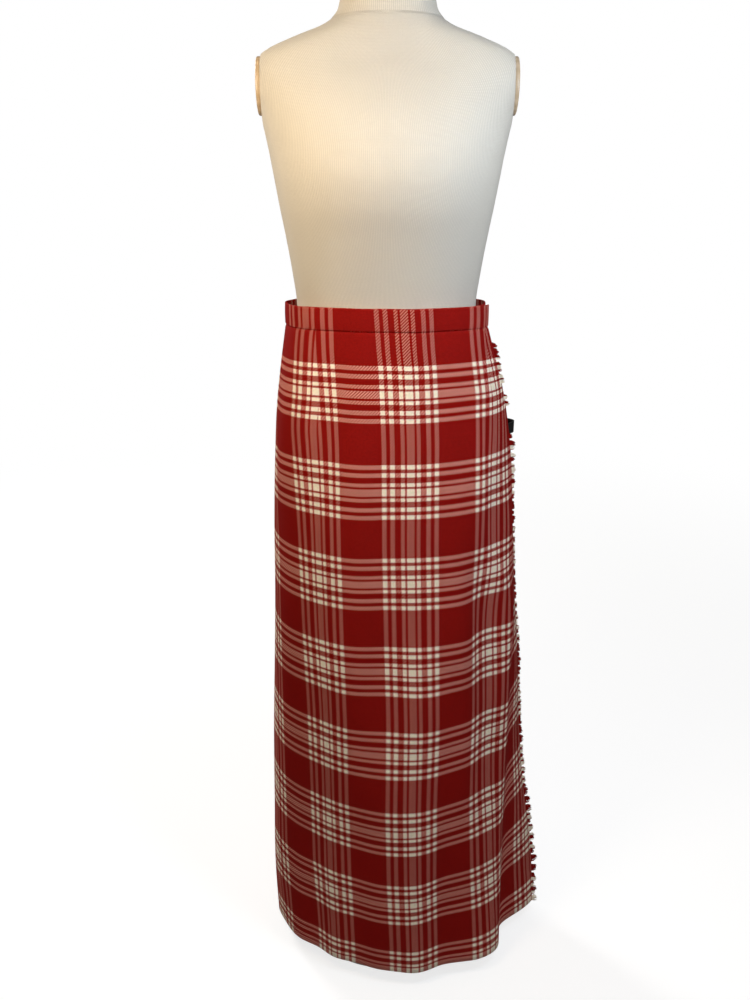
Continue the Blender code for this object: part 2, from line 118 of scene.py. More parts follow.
class Graph:
    """A material's node tree with one Principled shader, built one node at a time."""

    def __init__(self, name: str) -> None:
        """Starts the material.

        Args:
            name: The material's name.
        """
        self.material = bpy.data.materials.new(name)
        self.material.use_nodes = True
        self.tree = self.material.node_tree
        self.shader = self.tree.nodes["Principled BSDF"]

    def node(self, kind: str, **values: Any) -> bpy.types.Node:
        """Adds a node and sets its plain properties.

        Args:
            kind: The node's type without its ShaderNode prefix.
            **values: Properties by name.

        Returns:
            The node.
        """
        made = self.tree.nodes.new("ShaderNode" + kind)
        for name, value in values.items():
            setattr(made, name, value)
        return made

    def feed(self, socket: Socket, value: Any) -> None:
        """Links a socket to another, or sets it to a constant.

        Args:
            socket: The socket that takes the value.
            value: A socket or a constant.
        """
        if isinstance(value, Socket):
            self.tree.links.new(value, socket)
        else:
            socket.default_value = value

    def math(self, operation: str, *values: Any) -> Socket:
        """Adds a Math node.

        Args:
            operation: The operation's name.
            *values: Sockets or numbers for its inputs.

        Returns:
            Its result.
        """
        made = self.node("Math", operation=operation)
        for socket, value in zip(made.inputs, values):
            self.feed(socket, value)
        return made.outputs[0]

    def mix(self, share: Any, first: Any, second: Any) -> Socket:
        """Mixes two colours.

        Args:
            share: How much of the second shows.
            first: A colour or a socket.
            second: A colour or a socket.

        Returns:
            The mixed colour.
        """
        made = self.node("Mix", data_type="RGBA")
        self.feed(made.inputs[0], share)
        for socket, value in ((made.inputs[6], first), (made.inputs[7], second)):
            self.feed(socket, value if isinstance(value, Socket) else (*value, 1.0))
        return made.outputs[2]

    def darken(self, colour: Any, by: Any) -> Socket:
        """Multiplies a colour by a value.

        Args:
            colour: A colour or a socket.
            by: The value.

        Returns:
            The new colour.
        """
        made = self.node("VectorMath", operation="SCALE")
        self.feed(made.inputs[0], colour if isinstance(colour, Socket) else Vector(colour))
        self.feed(made.inputs["Scale"], by)
        return made.outputs[0]

    def spread(self, value: Any, low: float, high: float) -> Socket:
        """Moves a value from 0 to 1 to another span.

        Args:
            value: The value.
            low: The span's start.
            high: Its end.

        Returns:
            The moved value.
        """
        made = self.node("MapRange")
        self.feed(made.inputs["Value"], value)
        self.feed(made.inputs["To Min"], low)
        self.feed(made.inputs["To Max"], high)
        return made.outputs[0]

    def place(self) -> Socket:
        """Returns the Object coordinates."""
        return self.node("TexCoord").outputs["Object"]

    def stretched(self, vector: Socket, scale: Sequence[float]) -> Socket:
        """Scales a vector along its axes.

        Args:
            vector: The vector.
            scale: The scale of each axis.

        Returns:
            The scaled vector.
        """
        made = self.node("Mapping")
        self.feed(made.inputs["Vector"], vector)
        made.inputs["Scale"].default_value = scale
        return made.outputs[0]

    def noise(self, vector: Socket, scale: float, detail: float = 3.0) -> Socket:
        """Adds soft noise.

        Args:
            vector: Where it is read.
            scale: Its cells to the metre.
            detail: Its finer layers.

        Returns:
            The noise, from 0 to 1.
        """
        made = self.node("TexNoise")
        self.feed(made.inputs["Vector"], vector)
        made.inputs["Scale"].default_value = scale
        made.inputs["Detail"].default_value = detail
        return made.outputs[0]

    def hump(self, count: Socket) -> Socket:
        """Returns a round hump from 0 to 1 over each whole step of a count."""
        return self.math("ABSOLUTE", self.math("SINE", self.math("MULTIPLY", count, math.pi)))

    def cut_place(self) -> tuple[Socket, Socket]:
        """Reads the cloth's own coordinates.

        Returns:
            Its coordinates across and down, in metres.
        """
        source = self.node("UVMap", uv_map=CUT_LAYER)
        split = self.node("SeparateXYZ")
        self.feed(split.inputs[0], source.outputs[0])
        return split.outputs[0], split.outputs[1]

    def raise_by(self, height: Socket, distance: float, strength: float = 1.0) -> None:
        """Gives the shader a bump.

        Args:
            height: The height from 0 to 1.
            distance: The height of 1 in metres.
            strength: How much of it shows.
        """
        made = self.node("Bump")
        self.feed(made.inputs["Height"], height)
        made.inputs["Distance"].default_value = distance
        made.inputs["Strength"].default_value = strength
        self.feed(self.shader.inputs["Normal"], made.outputs[0])

    def settle(self, **values: Any) -> bpy.types.Material:
        """Sets the shader's sockets and returns the material.

        Args:
            **values: Socket names with _ for a space, and their values or sources.

        Returns:
            The finished material.
        """
        for name, value in values.items():
            socket = self.shader.inputs[name.replace("_", " ")]
            if name == "Base_Color" and not isinstance(value, Socket):
                value = (*value, 1.0)
            self.feed(socket, value)
        return self.material


# Finishes


@dataclass(frozen=True)
class Sett:
    """The plaid's repeat: groups of seven cream stripes on a red ground, both ways.

    The stripes are counted in threads from the middle of their group.
    """

    down: float = 0.128
    across: float = 0.1336
    middle_down: float = 0.0792
    middle_across: float = 0.0387
    threads: int = 132
    stripes: tuple[tuple[int, int], ...] = ((0, 5), (8, 13), (21, 27), (32, 38))

    def count(self, graph: Graph, along: Socket, repeat: float, middle: float) -> Socket:
        """Counts threads from the middle of a group of stripes.

        Args:
            graph: The material's tree.
            along: The cloth coordinate that crosses these threads.
            repeat: The sett's repeat that way.
            middle: The middle of one group of stripes.

        Returns:
            The number of threads, with its fraction.
        """
        return graph.math("DIVIDE", graph.math("SUBTRACT", along, middle), repeat / self.threads)

    def stripe_mask(self, graph: Graph, thread: Socket) -> Socket:
        """Finds where the threads of one direction are cream.

        Args:
            graph: The material's tree.
            thread: The thread's whole number.

        Returns:
            1 on cream threads and 0 on red ones.
        """
        turns = graph.math("MULTIPLY_ADD", thread, 1 / self.threads, 0.5 + 0.5 / self.threads)
        from_middle = graph.math("ABSOLUTE", graph.math("SUBTRACT", graph.math("FRACT", turns), 0.5))
        mask: Any = 0.0
        for start, end in self.stripes:
            middle, half = (start + end) / 2 / self.threads, (end - start) / 2 / self.threads
            mask = graph.math("ADD", mask, graph.math("COMPARE", from_middle, middle, half))
        return mask


@dataclass(frozen=True)
class PlaidCloth:
    """Worsted in a two and two twill, or the loose weft yarns of its fringe."""

    name: str
    use: PlaidUse = PlaidUse.WOVEN
    sett: Sett = Sett()
    red: tuple[float, float, float] = (0.262, 0.0066, 0.0046)
    cream: tuple[float, float, float] = (0.940, 0.810, 0.640)
    # Painted shade and painted red bounce light: the cream of floats that cross red yarns, darker and
    # redder than the cream itself.
    red_shaded_cream: tuple[float, float, float] = (0.890, 0.380, 0.290)
    warp_shows: float = 0.53
    weft_shows: float = 0.95
    twill_rise: float = 0.00010
    cloud_cells: float = 9.0
    fuzz_cells: float = 420.0
    loose_cells: float = 2600.0
    thread_tone: tuple[float, float] = (0.90, 1.10)
    cloud_tone: tuple[float, float] = (0.90, 1.10)
    fuzz_tone: tuple[float, float] = (0.86, 1.14)

    def material(self) -> bpy.types.Material:
        """Builds the cloth's material on the piece's own cut coordinates.

        Returns:
            The material.
        """
        graph = Graph(self.name)
        across, down = graph.cut_place()
        across = self.sett.count(graph, across, self.sett.across, self.sett.middle_across)
        down = self.sett.count(graph, down, self.sett.down, self.sett.middle_down)
        column, row = graph.math("FLOOR", across), graph.math("FLOOR", down)
        weft = self.sett.stripe_mask(graph, row)
        if self.use is PlaidUse.WOVEN:
            warp = self.sett.stripe_mask(graph, column)
            step = graph.math("FLOORED_MODULO", graph.math("ADD", column, row), 4.0)
            warp_on_top = graph.math("LESS_THAN", step, 1.5)
            both = graph.math("MULTIPLY", warp, weft)
            warp_seen = graph.math("MULTIPLY", graph.math("MULTIPLY", warp, warp_on_top), self.warp_shows)
            weft_on_top = graph.math("SUBTRACT", 1.0, warp_on_top)
            weft_seen = graph.math("MULTIPLY", graph.math("MULTIPLY", weft, weft_on_top), self.weft_shows)
            # Cream floats in the half tone take the cream with painted shade and painted red bounce light,
            # not the plain cream.
            half_tone = graph.mix(graph.math("ADD", warp_seen, weft_seen), self.red, self.red_shaded_cream)
            plain = graph.mix(both, half_tone, self.cream)
            height = self.twill_height(graph, across, down, warp_on_top)
        else:
            plain = graph.mix(weft, self.red, self.cream)
            height = graph.noise(graph.place(), self.loose_cells, 2.0)
        yarn = graph.node("CombineXYZ")
        graph.feed(yarn.inputs[0], column if self.use is PlaidUse.WOVEN else 0.0)
        graph.feed(yarn.inputs[1], row)
        tone = graph.node("TexWhiteNoise", noise_dimensions="3D")
        graph.feed(tone.inputs["Vector"], yarn.outputs[0])
        cloudy = graph.noise(graph.place(), self.cloud_cells, 4.0)
        fuzzy = graph.noise(graph.place(), self.fuzz_cells, 3.0)
        uneven_dye = graph.math(
            "MULTIPLY", graph.spread(cloudy, *self.cloud_tone), graph.spread(fuzzy, *self.fuzz_tone)
        )
        shade = graph.math("MULTIPLY", graph.spread(tone.outputs[0], *self.thread_tone), uneven_dye)
        graph.raise_by(height, self.twill_rise, 0.8)
        return graph.settle(
            Base_Color=graph.darken(plain, shade),
            Roughness=graph.spread(fuzzy, 0.78, 0.95),
            Specular_IOR_Level=0.04,
        )

    def twill_height(self, graph: Graph, across: Socket, down: Socket, warp_on_top: Socket) -> Socket:
        """Rounds each yarn across its own run.

        Args:
            graph: The material's tree.
            across: The place across, in threads.
            down: The place down, in threads.
            warp_on_top: 1 where the warp shows.

        Returns:
            The height of the yarns, from 0 to 1.
        """
        return graph.math(
            "ADD",
            graph.math("MULTIPLY", graph.hump(across), warp_on_top),
            graph.math("MULTIPLY", graph.hump(down), graph.math("SUBTRACT", 1.0, warp_on_top)),
        )


@dataclass(frozen=True)
class RibJersey:
    """Cream jersey knitted in fine upright ribs."""

    name: str = "form_jersey"
    colour: tuple[float, float, float] = (0.67, 0.60, 0.505)
    rib: float = 0.0026
    course: float = 0.0016
    loop_slant: float = 1.4
    loop_rise: float = 0.18
    fuzz_cells: float = 700.0
    cloud_cells: float = 7.0
    rise: float = 0.00035

    def material(self) -> bpy.types.Material:
        """Builds the jersey's material, with ribs on the cover's own coordinates.

        Returns:
            The material.
        """
        graph = Graph(self.name)
        across, up = graph.cut_place()
        wave = graph.math("SINE", graph.math("MULTIPLY", across, 2 * math.pi / self.rib))
        rib = graph.math("MULTIPLY_ADD", wave, 0.5, 0.5)
        slant = graph.math("MULTIPLY", graph.math("ABSOLUTE", wave), self.loop_slant)
        course = graph.math("SINE", graph.math("MULTIPLY_ADD", up, 2 * math.pi / self.course, slant))
        loops = graph.math("MULTIPLY_ADD", course, self.loop_rise, self.loop_rise)
        height = graph.math("ADD", graph.math("POWER", rib, 0.7), loops)
        fuzz = graph.noise(graph.place(), self.fuzz_cells, 3.0)
        cloud = graph.noise(graph.place(), self.cloud_cells, 3.0)
        # Painted shade: the grooves between the ribs are darker, times random fuzz and cloud tone.
        shade = graph.math(
            "MULTIPLY",
            graph.spread(rib, 0.86, 1.03),
            graph.math("MULTIPLY", graph.spread(fuzz, 0.93, 1.07), graph.spread(cloud, 0.95, 1.04)),
        )
        graph.raise_by(height, self.rise, 0.7)
        return graph.settle(
            Base_Color=graph.darken(self.colour, shade),
            Roughness=graph.spread(fuzz, 0.80, 0.95),
            Specular_IOR_Level=0.2,
            Sheen_Weight=0.12,
        )


@dataclass(frozen=True)
class Leather:
    """Smooth black strap leather with a fine grain and duller, rubbed patches."""

    name: str = "black_leather"
    colour: tuple[float, float, float] = (0.007, 0.0065, 0.006)
    rubbed: tuple[float, float, float] = (0.028, 0.024, 0.021)
    grain_cells: float = 1500.0
    wear_cells: float = 160.0
    rise: float = 0.00012

    def material(self) -> bpy.types.Material:
        """Builds the leather's material.

        Returns:
            The material.
        """
        graph = Graph(self.name)
        place = graph.place()
        grain = graph.node("TexVoronoi", feature="DISTANCE_TO_EDGE")
        graph.feed(grain.inputs["Vector"], place)
        grain.inputs["Scale"].default_value = self.grain_cells
        pebble = graph.spread(grain.outputs["Distance"], 0.0, 2.2)
        soft = graph.noise(place, self.wear_cells, 4.0)
        wear = graph.math("POWER", soft, 2.4)
        graph.raise_by(graph.math("ADD", pebble, graph.math("MULTIPLY", soft, 0.8)), self.rise, 0.6)
        return graph.settle(
            Base_Color=graph.mix(graph.math("MULTIPLY", wear, 0.5), self.colour, self.rubbed),
            Roughness=graph.spread(soft, 0.42, 0.66),
            Specular_IOR_Level=0.25,
        )


@dataclass(frozen=True)
class Steel:
    """Dull nickel plated steel with fine scratches."""

    name: str = "dull_steel"
    colour: tuple[float, float, float] = (0.56, 0.55, 0.52)
    scratch_cells: tuple[float, float, float] = (300.0, 300.0, 5200.0)
    tarnish_cells: float = 240.0
    rise: float = 0.00003

    def material(self) -> bpy.types.Material:
        """Builds the steel's material.

        Returns:
            The material.
        """
        graph = Graph(self.name)
        place = graph.place()
        fine = graph.noise(graph.stretched(place, self.scratch_cells), 1.0, 3.0)
        tarnish = graph.noise(place, self.tarnish_cells, 4.0)
        graph.raise_by(fine, self.rise, 0.5)
        return graph.settle(
            Base_Color=graph.darken(self.colour, graph.spread(tarnish, 0.72, 1.08)),
            Roughness=graph.spread(fine, 0.24, 0.46),
            Metallic=1.0,
        )


@dataclass(frozen=True)
class Wood:
    """Pale varnished beech with a fine straight grain."""

    name: str = "form_wood"
    light: tuple[float, float, float] = (0.66, 0.50, 0.33)
    dark: tuple[float, float, float] = (0.46, 0.31, 0.18)
    ring: float = 0.006981
    bend_cells: float = 22.0
    bend: float = 0.012
    fleck_cells: tuple[float, float, float] = (60.0, 1400.0, 900.0)
    rise: float = 0.00004

    def material(self) -> bpy.types.Material:
        """Builds the wood's material.

        Returns:
            The material.
        """
        graph = Graph(self.name)
        place = graph.place()
        bent = graph.noise(place, self.bend_cells, 3.0)
        split = graph.node("SeparateXYZ")
        graph.feed(split.inputs[0], place)
        depth = graph.math("ADD", split.outputs[1], graph.math("MULTIPLY", bent, self.bend))
        wave = graph.math("SINE", graph.math("MULTIPLY", depth, 2 * math.pi / self.ring))
        rings = graph.math("MULTIPLY_ADD", wave, 0.5, 0.5)
        fleck = graph.noise(graph.stretched(place, self.fleck_cells), 1.0, 3.0)
        share = graph.math("MULTIPLY", graph.math("ADD", rings, graph.math("MULTIPLY", fleck, 0.8)), 0.5)
        graph.raise_by(fleck, self.rise, 0.5)
        return graph.settle(
            Base_Color=graph.mix(share, self.light, self.dark),
            Roughness=graph.spread(fleck, 0.30, 0.48),
            Coat_Weight=0.25,
            Coat_Roughness=0.2,
        )


@dataclass(frozen=True)
class Enamel:
    """Pale satin enamel on the stand, faintly dimpled, with a little dust."""

    name: str = "form_metal"
    colour: tuple[float, float, float] = (0.74, 0.73, 0.70)
    dimple_cells: float = 480.0
    dust_cells: float = 30.0
    rise: float = 0.00006

    def material(self) -> bpy.types.Material:
        """Builds the enamel's material.

        Returns:
            The material.
        """
        graph = Graph(self.name)
        place = graph.place()
        dimple = graph.noise(place, self.dimple_cells, 2.0)
        dust = graph.noise(place, self.dust_cells, 5.0)
        graph.raise_by(dimple, self.rise, 0.4)
        return graph.settle(
            Base_Color=graph.darken(self.colour, graph.spread(dust, 0.88, 1.04)),
            Roughness=graph.spread(dust, 0.30, 0.46),
            Specular_IOR_Level=0.5,
        )


@dataclass(frozen=True)
class SewingThread:
    """Waxed sewing thread, with its twist."""

    name: str
    colour: tuple[float, float, float]
    twist_cells: float = 3000.0
    rise: float = 0.00008

    def material(self) -> bpy.types.Material:
        """Builds the thread's material.

        Returns:
            The material.
        """
        graph = Graph(self.name)
        twist = graph.noise(graph.place(), self.twist_cells, 2.0)
        graph.raise_by(twist, self.rise, 0.6)
        return graph.settle(
            Base_Color=graph.darken(self.colour, graph.spread(twist, 0.7, 1.2)), Roughness=0.6
        )


@dataclass(frozen=True)
class PaleFloor:
    """The plain pale floor."""

    name: str = "studio_floor"
    colour: tuple[float, float, float] = (0.48, 0.475, 0.47)
    glow: tuple[float, float] = (0.74, 1.0)
    fades: tuple[float, float] = (0.5, 3.2)
    cloud_cells: float = 3.0

    def material(self) -> bpy.types.Material:
        """Builds the floor's material, which fades to white far from the part.

        Returns:
            The material.
        """
        graph = Graph(self.name)
        soft = graph.noise(graph.place(), self.cloud_cells, 3.0)
        away = graph.node("VectorMath", operation="LENGTH")
        graph.feed(away.inputs[0], graph.place())
        far = graph.node("MapRange", interpolation_type="SMOOTHSTEP")
        graph.feed(far.inputs["Value"], away.outputs["Value"])
        graph.feed(far.inputs["From Min"], self.fades[0])
        graph.feed(far.inputs["From Max"], self.fades[1])
        share = far.outputs[0]
        seen = graph.node("LightPath").outputs["Is Camera Ray"]
        plain = graph.math("SUBTRACT", 1.0, share)
        return graph.settle(
            Base_Color=graph.darken(
                self.colour, graph.math("MULTIPLY", plain, graph.spread(soft, 0.98, 1.02))
            ),
            Roughness=0.9,
            Specular_IOR_Level=0.0,
            Emission_Color=(1.0, 1.0, 1.0, 1.0),
            Emission_Strength=graph.math("MULTIPLY", seen, graph.spread(share, *self.glow)),
        )


# The kilt's outline


@dataclass(frozen=True)
class Level:
    """One level of the kilt's outline, in millimetres and degrees.

    Each column but drop, back and the turns is the cloth's distance from the axis.
    """

    drop: float
    left: float
    left65: float
    left40: float
    left20: float
    front: float
    right20: float
    right40: float
    shoulder: float
    ridge: float
    ridge_turn: float
    valley: float
    valley_turn: float
    edge: float
    edge_turn: float
    back: float


LEVELS = (
    Level(0, 138, 127, 101, 94, 89, 99, 106, 124, 135, 67, 137.5, 71.5, 139.5, 76, 100),
    Level(50, 146, 134, 107, 100, 95, 104, 112, 129, 141, 67, 147, 73, 153, 79, 108),
    Level(110, 154, 142, 115, 109, 103, 110, 120, 137, 150, 67, 160, 77, 168, 87, 120),
    Level(190, 160, 149, 127, 122, 114, 120, 132, 150, 159, 67, 169, 76, 180, 85.5, 133),
    Level(290, 165, 154, 139, 133, 124, 130, 145, 158, 166, 64, 185, 79, 188, 88, 138),
    Level(400, 168, 160, 147, 142, 134, 144, 159, 169, 191, 71, 193, 84, 199, 93, 140),
    Level(520, 173, 167, 153, 152, 147, 161, 169, 177, 196, 67, 197, 79, 211, 92.5, 142),
    Level(640, 178, 173, 158, 158, 163, 170, 177, 184, 200, 65, 199, 76, 219, 91.5, 145),
    Level(760, 180, 178, 161, 161, 170, 176, 183, 193, 204, 60, 203, 72, 232, 89.5, 148),
    Level(870, 180, 183, 163, 163, 171, 177, 189, 201, 211, 58, 204, 70.5, 250, 89, 151),
    Level(980, 176, 182, 163, 162, 168, 179, 197, 208, 220, 54.5, 208, 67.5, 257, 84.5, 154),
)


@dataclass(frozen=True)
class Crease:
    """A soft fold that runs down the cloth, out from it or into it.

    Turns in degrees at its top and bottom, drops, depth and half width in millimetres. A shallow
    hollow runs down both of its sides.
    """

    MEAN_RADIUS: ClassVar[float] = 165.0
    HEM_FROM: ClassVar[float] = 900.0
    PAST_END: ClassVar[float] = 1.25
    WANDER: ClassVar[float] = 1.1
    WANDER_PACE: ClassVar[float] = 5.1
    HOLLOW: ClassVar[float] = 0.45
    HOLLOW_AWAY: ClassVar[float] = 1.9

    top_turn: float
    bottom_turn: float
    top: float
    bottom: float
    depth: float
    width: float

    def strength(self, share: float) -> float:
        """Works out how much of the fold shows. One that meets the hem stays open.

        Args:
            share: The share of its run, from its top.

        Returns:
            Its strength, from 0 to 1.
        """
        share = min(share, 1.0)
        if self.bottom > self.HEM_FROM:
            return math.sin(share * math.pi / 2) ** 1.5
        return math.sin(share * math.pi) ** 2

    def rise(self, turn: Array, drop: float) -> Array:
        """Works out how far this fold lifts the cloth.

        Args:
            turn: Turns in degrees.
            drop: The level, in metres.

        Returns:
            The lift at each turn, in metres.
        """
        share = (drop / MM - self.top) / (self.bottom - self.top)
        if not 0 < share < self.PAST_END:
            return np.zeros_like(np.asarray(turn, float))
        middle = self.top_turn + (self.bottom_turn - self.top_turn) * share
        middle += self.WANDER * math.sin(self.WANDER_PACE * share + self.top_turn)
        away = (np.asarray(turn, float) - middle + 180.0) % 360.0 - 180.0
        half = math.degrees(self.width / self.MEAN_RADIUS)
        beside = (np.abs(away) - self.HOLLOW_AWAY * half) / half
        lobe = np.exp(-((away / half) ** 2)) - self.HOLLOW * np.exp(-(beside**2))
        return self.depth * MM * self.strength(share) * lobe


CREASES = (
    Crease(-84, -80, 430, 980, 2.4, 17),
    Crease(-58, -63, 560, 980, -2.6, 20),
    Crease(-34, -31, 640, 980, 1.9, 19),
    Crease(-9, -14, 500, 980, -1.8, 24),
    Crease(13, 16, 620, 980, 2.2, 20),
    Crease(33, 30, 380, 980, -2.8, 22),
    Crease(47, 43, 240, 700, 1.7, 18),
    Crease(-30, -26, 6, 150, 0.9, 11),
    Crease(22, 26, 6, 170, -0.9, 12),
    Crease(-74, -70, 20, 300, 1.2, 14),
    Crease(57, 60, 30, 330, 1.3, 12),
    Crease(-118, -122, 420, 980, 2.6, 26),
    Crease(-150, -146, 520, 980, -2.2, 30),
    Crease(178, 174, 460, 980, 2.8, 30),
    Crease(140, 143, 560, 980, -2.4, 28),
    Crease(112, 108, 480, 980, 2.3, 24),
)


class Section:
    """The kilt's outline at one level."""

    FRONT_TURNS = (-90.0, -65.0, -40.0, -20.0, 0.0, 20.0, 40.0)
    SHOULDER_BEFORE = 9.0
    UNDER_GAP = 4 * MM
    SQUARENESS = 2.6
    RIGHT_EASE = (66.0, 110.0)
    UNDER_APRON_END = -62.0
    FIRST_FOLD = -97.0
    LAST_FOLD = -296.0
    PLEATS = 16
    LAYERS = (1.40 * MM, 2.30 * MM)
    SEAM_TUCK = 1.0 * MM
    SEAM_TUCK_DROP = 2.2 * MM

    def __init__(self, level: Level) -> None:
        """Works out the outline at a level.

        Args:
            level: Its measures, also between the rows of the table.
        """
        self.drop = level.drop * MM
        self.height = SEAM_HEIGHT - self.drop
        shoulder_turn = level.ridge_turn - self.SHOULDER_BEFORE
        folds = (shoulder_turn, level.ridge_turn, level.valley_turn, level.edge_turn)
        self.turns = (*self.FRONT_TURNS, *folds)
        left = (level.left, level.left65, level.left40, level.left20)
        right = (level.right20, level.right40, level.shoulder, level.ridge, level.valley, level.edge)
        self.radii = np.array([*left, level.front, *right]) * MM
        self.edge_turn = level.edge_turn
        self.side, self.back = level.left * MM, level.back * MM
        share = self.drop / CLOTH_LENGTH
        self.layer = self.LAYERS[0] + (self.LAYERS[1] - self.LAYERS[0]) * share
        self.round_turns = np.linspace(self.UNDER_APRON_END, self.LAST_FOLD, 900)
        self.round_run = self.length_of(self.round_turns, self.hull(self.round_turns))
        self.first_run = float(np.interp(-self.FIRST_FOLD, -self.round_turns, self.round_run))
        self.pleat_width = (self.round_run[-1] - self.first_run) / self.PLEATS

    def creased(self, turn: Array) -> Array:
        """Returns the lift of all folds at these turns."""
        return sum(crease.rise(turn, self.drop) for crease in CREASES)

    def over(self, turn: Array) -> Array:
        """Returns the over-apron's distance from the axis."""
        return hermite(self.turns, self.radii, turn)

    def outer(self, turn: Array) -> Array:
        """Returns the over-apron's distance, and the pleats' behind the left hip."""
        return np.where(turn < self.FRONT_TURNS[0], self.hull(turn), self.over(turn))

    def hull(self, turn: Array) -> Array:
        """Works out the outline that the pleats and the under-apron keep to.

        Args:
            turn: Turns in degrees.

        Returns:
            Its distances from the axis.
        """
        turn = (np.asarray(turn, float) + 180.0) % 360.0 - 180.0
        back = self.oval(turn, self.side, self.back, 2.0)
        depth = float(self.over(0.0)) - self.UNDER_GAP
        right = np.minimum(
            self.over(turn) - self.UNDER_GAP,
            self.oval(turn, self.side - self.UNDER_GAP, depth, self.SQUARENESS),
        )
        share = ease((turn - self.RIGHT_EASE[0]) / (self.RIGHT_EASE[1] - self.RIGHT_EASE[0]))
        behind = np.minimum(back, self.side - self.UNDER_GAP * (1 - share))
        right = right * (1 - share) + behind * share
        left = np.where(turn < self.FRONT_TURNS[0], back, self.over(turn))
        return np.where(turn >= 0, right, left)

    @staticmethod
    def oval(turn: Array, half_width: float, depth: float, squareness: float) -> Array:
        """Works out a rounded oval.

        Args:
            turn: Turns in degrees.
            half_width: Half its width.
            depth: Its depth from the axis.
            squareness: 2 for an ellipse, and more for squarer ones.

        Returns:
            Its distances from the axis.
        """
        across = np.abs(np.sin(np.radians(turn))) / half_width
        along = np.abs(np.cos(np.radians(turn))) / depth
        return (across**squareness + along**squareness) ** (-1 / squareness)

    @staticmethod
    def flat(turn: Array, radius: Array) -> tuple[Array, Array]:
        """Returns the X and Y of turns and radii."""
        angle = np.radians(turn)
        return radius * np.sin(angle), -radius * np.cos(angle)

    def length_of(self, turn: Array, radius: Array) -> Array:
        """Returns the length along a level line from its start to each of its points."""
        x, y = self.flat(turn, radius)
        return np.concatenate([[0.0], np.cumsum(np.hypot(np.diff(x), np.diff(y)))])

    def points(self, turn: Array, radius: Array) -> Array:
        """Places cloth at this level, with the folds and the seam's tuck added.

        Args:
            turn: Turns in degrees.
            radius: Distances from the axis.

        Returns:
            The places.
        """
        tuck = self.SEAM_TUCK * math.exp(-((self.drop / self.SEAM_TUCK_DROP) ** 2))
        x, y = self.flat(turn, radius + self.creased(turn) - tuck)
        return np.stack([x, y, np.full_like(x, self.height)], axis=-1)

    def turn_at(self, run: Array) -> Array:
        """Returns the turns at these lengths round the pleats' outline from the under-apron's end."""
        return np.interp(run, self.round_run, self.round_turns)

    def station_run(self, station: Array) -> Array:
        """Returns the length round the outline at a pleat station."""
        return self.first_run + self.pleat_width * np.asarray(station, float)


class Outline:
    """The kilt's outline at any level, smooth between its rows."""

    TABLE = np.array([astuple(level) for level in LEVELS], float)
    SEAM_ROWS = (1.3 * MM, 2.6 * MM, 4.4 * MM)

    def section(self, drop: float) -> Section:
        """Reads the outline at a level.

        Args:
            drop: The level, in metres below the waist seam.

        Returns:
            Its section.
        """
        knots = self.TABLE[:, 0]
        return Section(Level(*(float(hermite(knots, column, drop / MM)) for column in self.TABLE.T)))

    def sections(self, rows: int) -> list[Section]:
        """Returns even sections from the hem up to the waist seam, and some just below the seam."""
        drops = np.concatenate([np.linspace(0.0, CLOTH_LENGTH, rows), self.SEAM_ROWS])
        return [self.section(drop) for drop in sorted(drops, reverse=True)]


@dataclass(frozen=True)
class Dart:
    """A waist dart: the cloth coordinates that meet at its line, in millimetres."""

    drops: tuple[float, ...]
    before: tuple[float, ...]
    after: tuple[float, ...]

    def at(self, drop: float) -> tuple[float, float]:
        """Returns the cloth coordinates left and right of the line at a level in metres."""
        before = float(np.interp(drop / MM, self.drops, self.before))
        return before, float(np.interp(drop / MM, self.drops, self.after))


@dataclass(frozen=True)
class Grain:
    """How the woven sett lies on the cloth: its lean, its two waist darts and its pleats.

    Millimetres across the cloth from the start of the middle group of stripes. Each pleat takes
    up pleat_widths widths of take_up.
    """

    drops: tuple[float, ...] = (-29, 24, 146, 284, 413, 543, 678, 804, 933, 980)
    front: tuple[float, ...] = (15.5, 14.5, 8.5, 6.0, 3.2, -0.5, 0.5, -2.0, -7.0, -8.0)
    left_lean: tuple[float, ...] = (0, 0, -2, -6, -7, -8, -10, -8, -13, -14)
    lean_from: float = -60.0
    lean_over: float = 75.0
    right_drops: tuple[float, ...] = (-29, 0, 52, 85, 115, 170)
    right_lean: tuple[float, ...] = (5.7, 5.7, 0, -3.2, -1.7, 0)
    right_from: float = 62.0
    right_over: float = 50.0
    middle_drops: tuple[float, ...] = (-29, 0, 48, 85, 146, 284)
    middle_lean: tuple[float, ...] = (2.2, 0.5, -2.2, -2.1, -1.5, 0)
    middle_arc: float = 25.0
    middle_half: float = 42.0
    middle_over: float = 40.0
    left_dart: Dart = Dart((0, 86, 131), (-100.0, -89.8, -87.4), (-81.8, -81.8, -87.4))
    right_dart: Dart = Dart((0, 95), (164.4, 164.4), (180.2, 164.4))
    first_fold: float = 199.0
    take_up: float = 33.4
    pleat_widths: int = 5

    def at_front(self, drop: float) -> float:
        """Returns the cloth coordinate at the middle of the front, in millimetres."""
        return float(np.interp(drop / MM, self.drops, self.front))

    def fold_cut(self, pleat: Array) -> Array:
        """Returns the cloth coordinate at a pleat's fold, in metres."""
        return (self.at_front(0.0) - self.first_fold - self.pleat_widths * self.take_up * pleat) * MM

    def across(self, arc: Array, drop: float) -> Array:
        """Works out the cloth coordinate of undarted cloth.

        Args:
            arc: Lengths round the cloth from the middle of the front, in metres.
            drop: The level, in metres.

        Returns:
            The cloth coordinates, in millimetres.
        """
        arc = np.asarray(arc, float) / MM
        left = float(np.interp(drop / MM, self.drops, self.left_lean))
        right = float(np.interp(drop / MM, self.right_drops, self.right_lean))
        middle = float(np.interp(drop / MM, self.middle_drops, self.middle_lean))
        left = left * ease((self.lean_from - arc) / self.lean_over)
        right = right * ease((arc - self.right_from) / self.right_over)
        aside = np.abs(arc - self.middle_arc) - self.middle_half
        middle = middle * (1 - ease(aside / self.middle_over))
        return self.at_front(drop) + arc + left + middle + right


# Making pieces


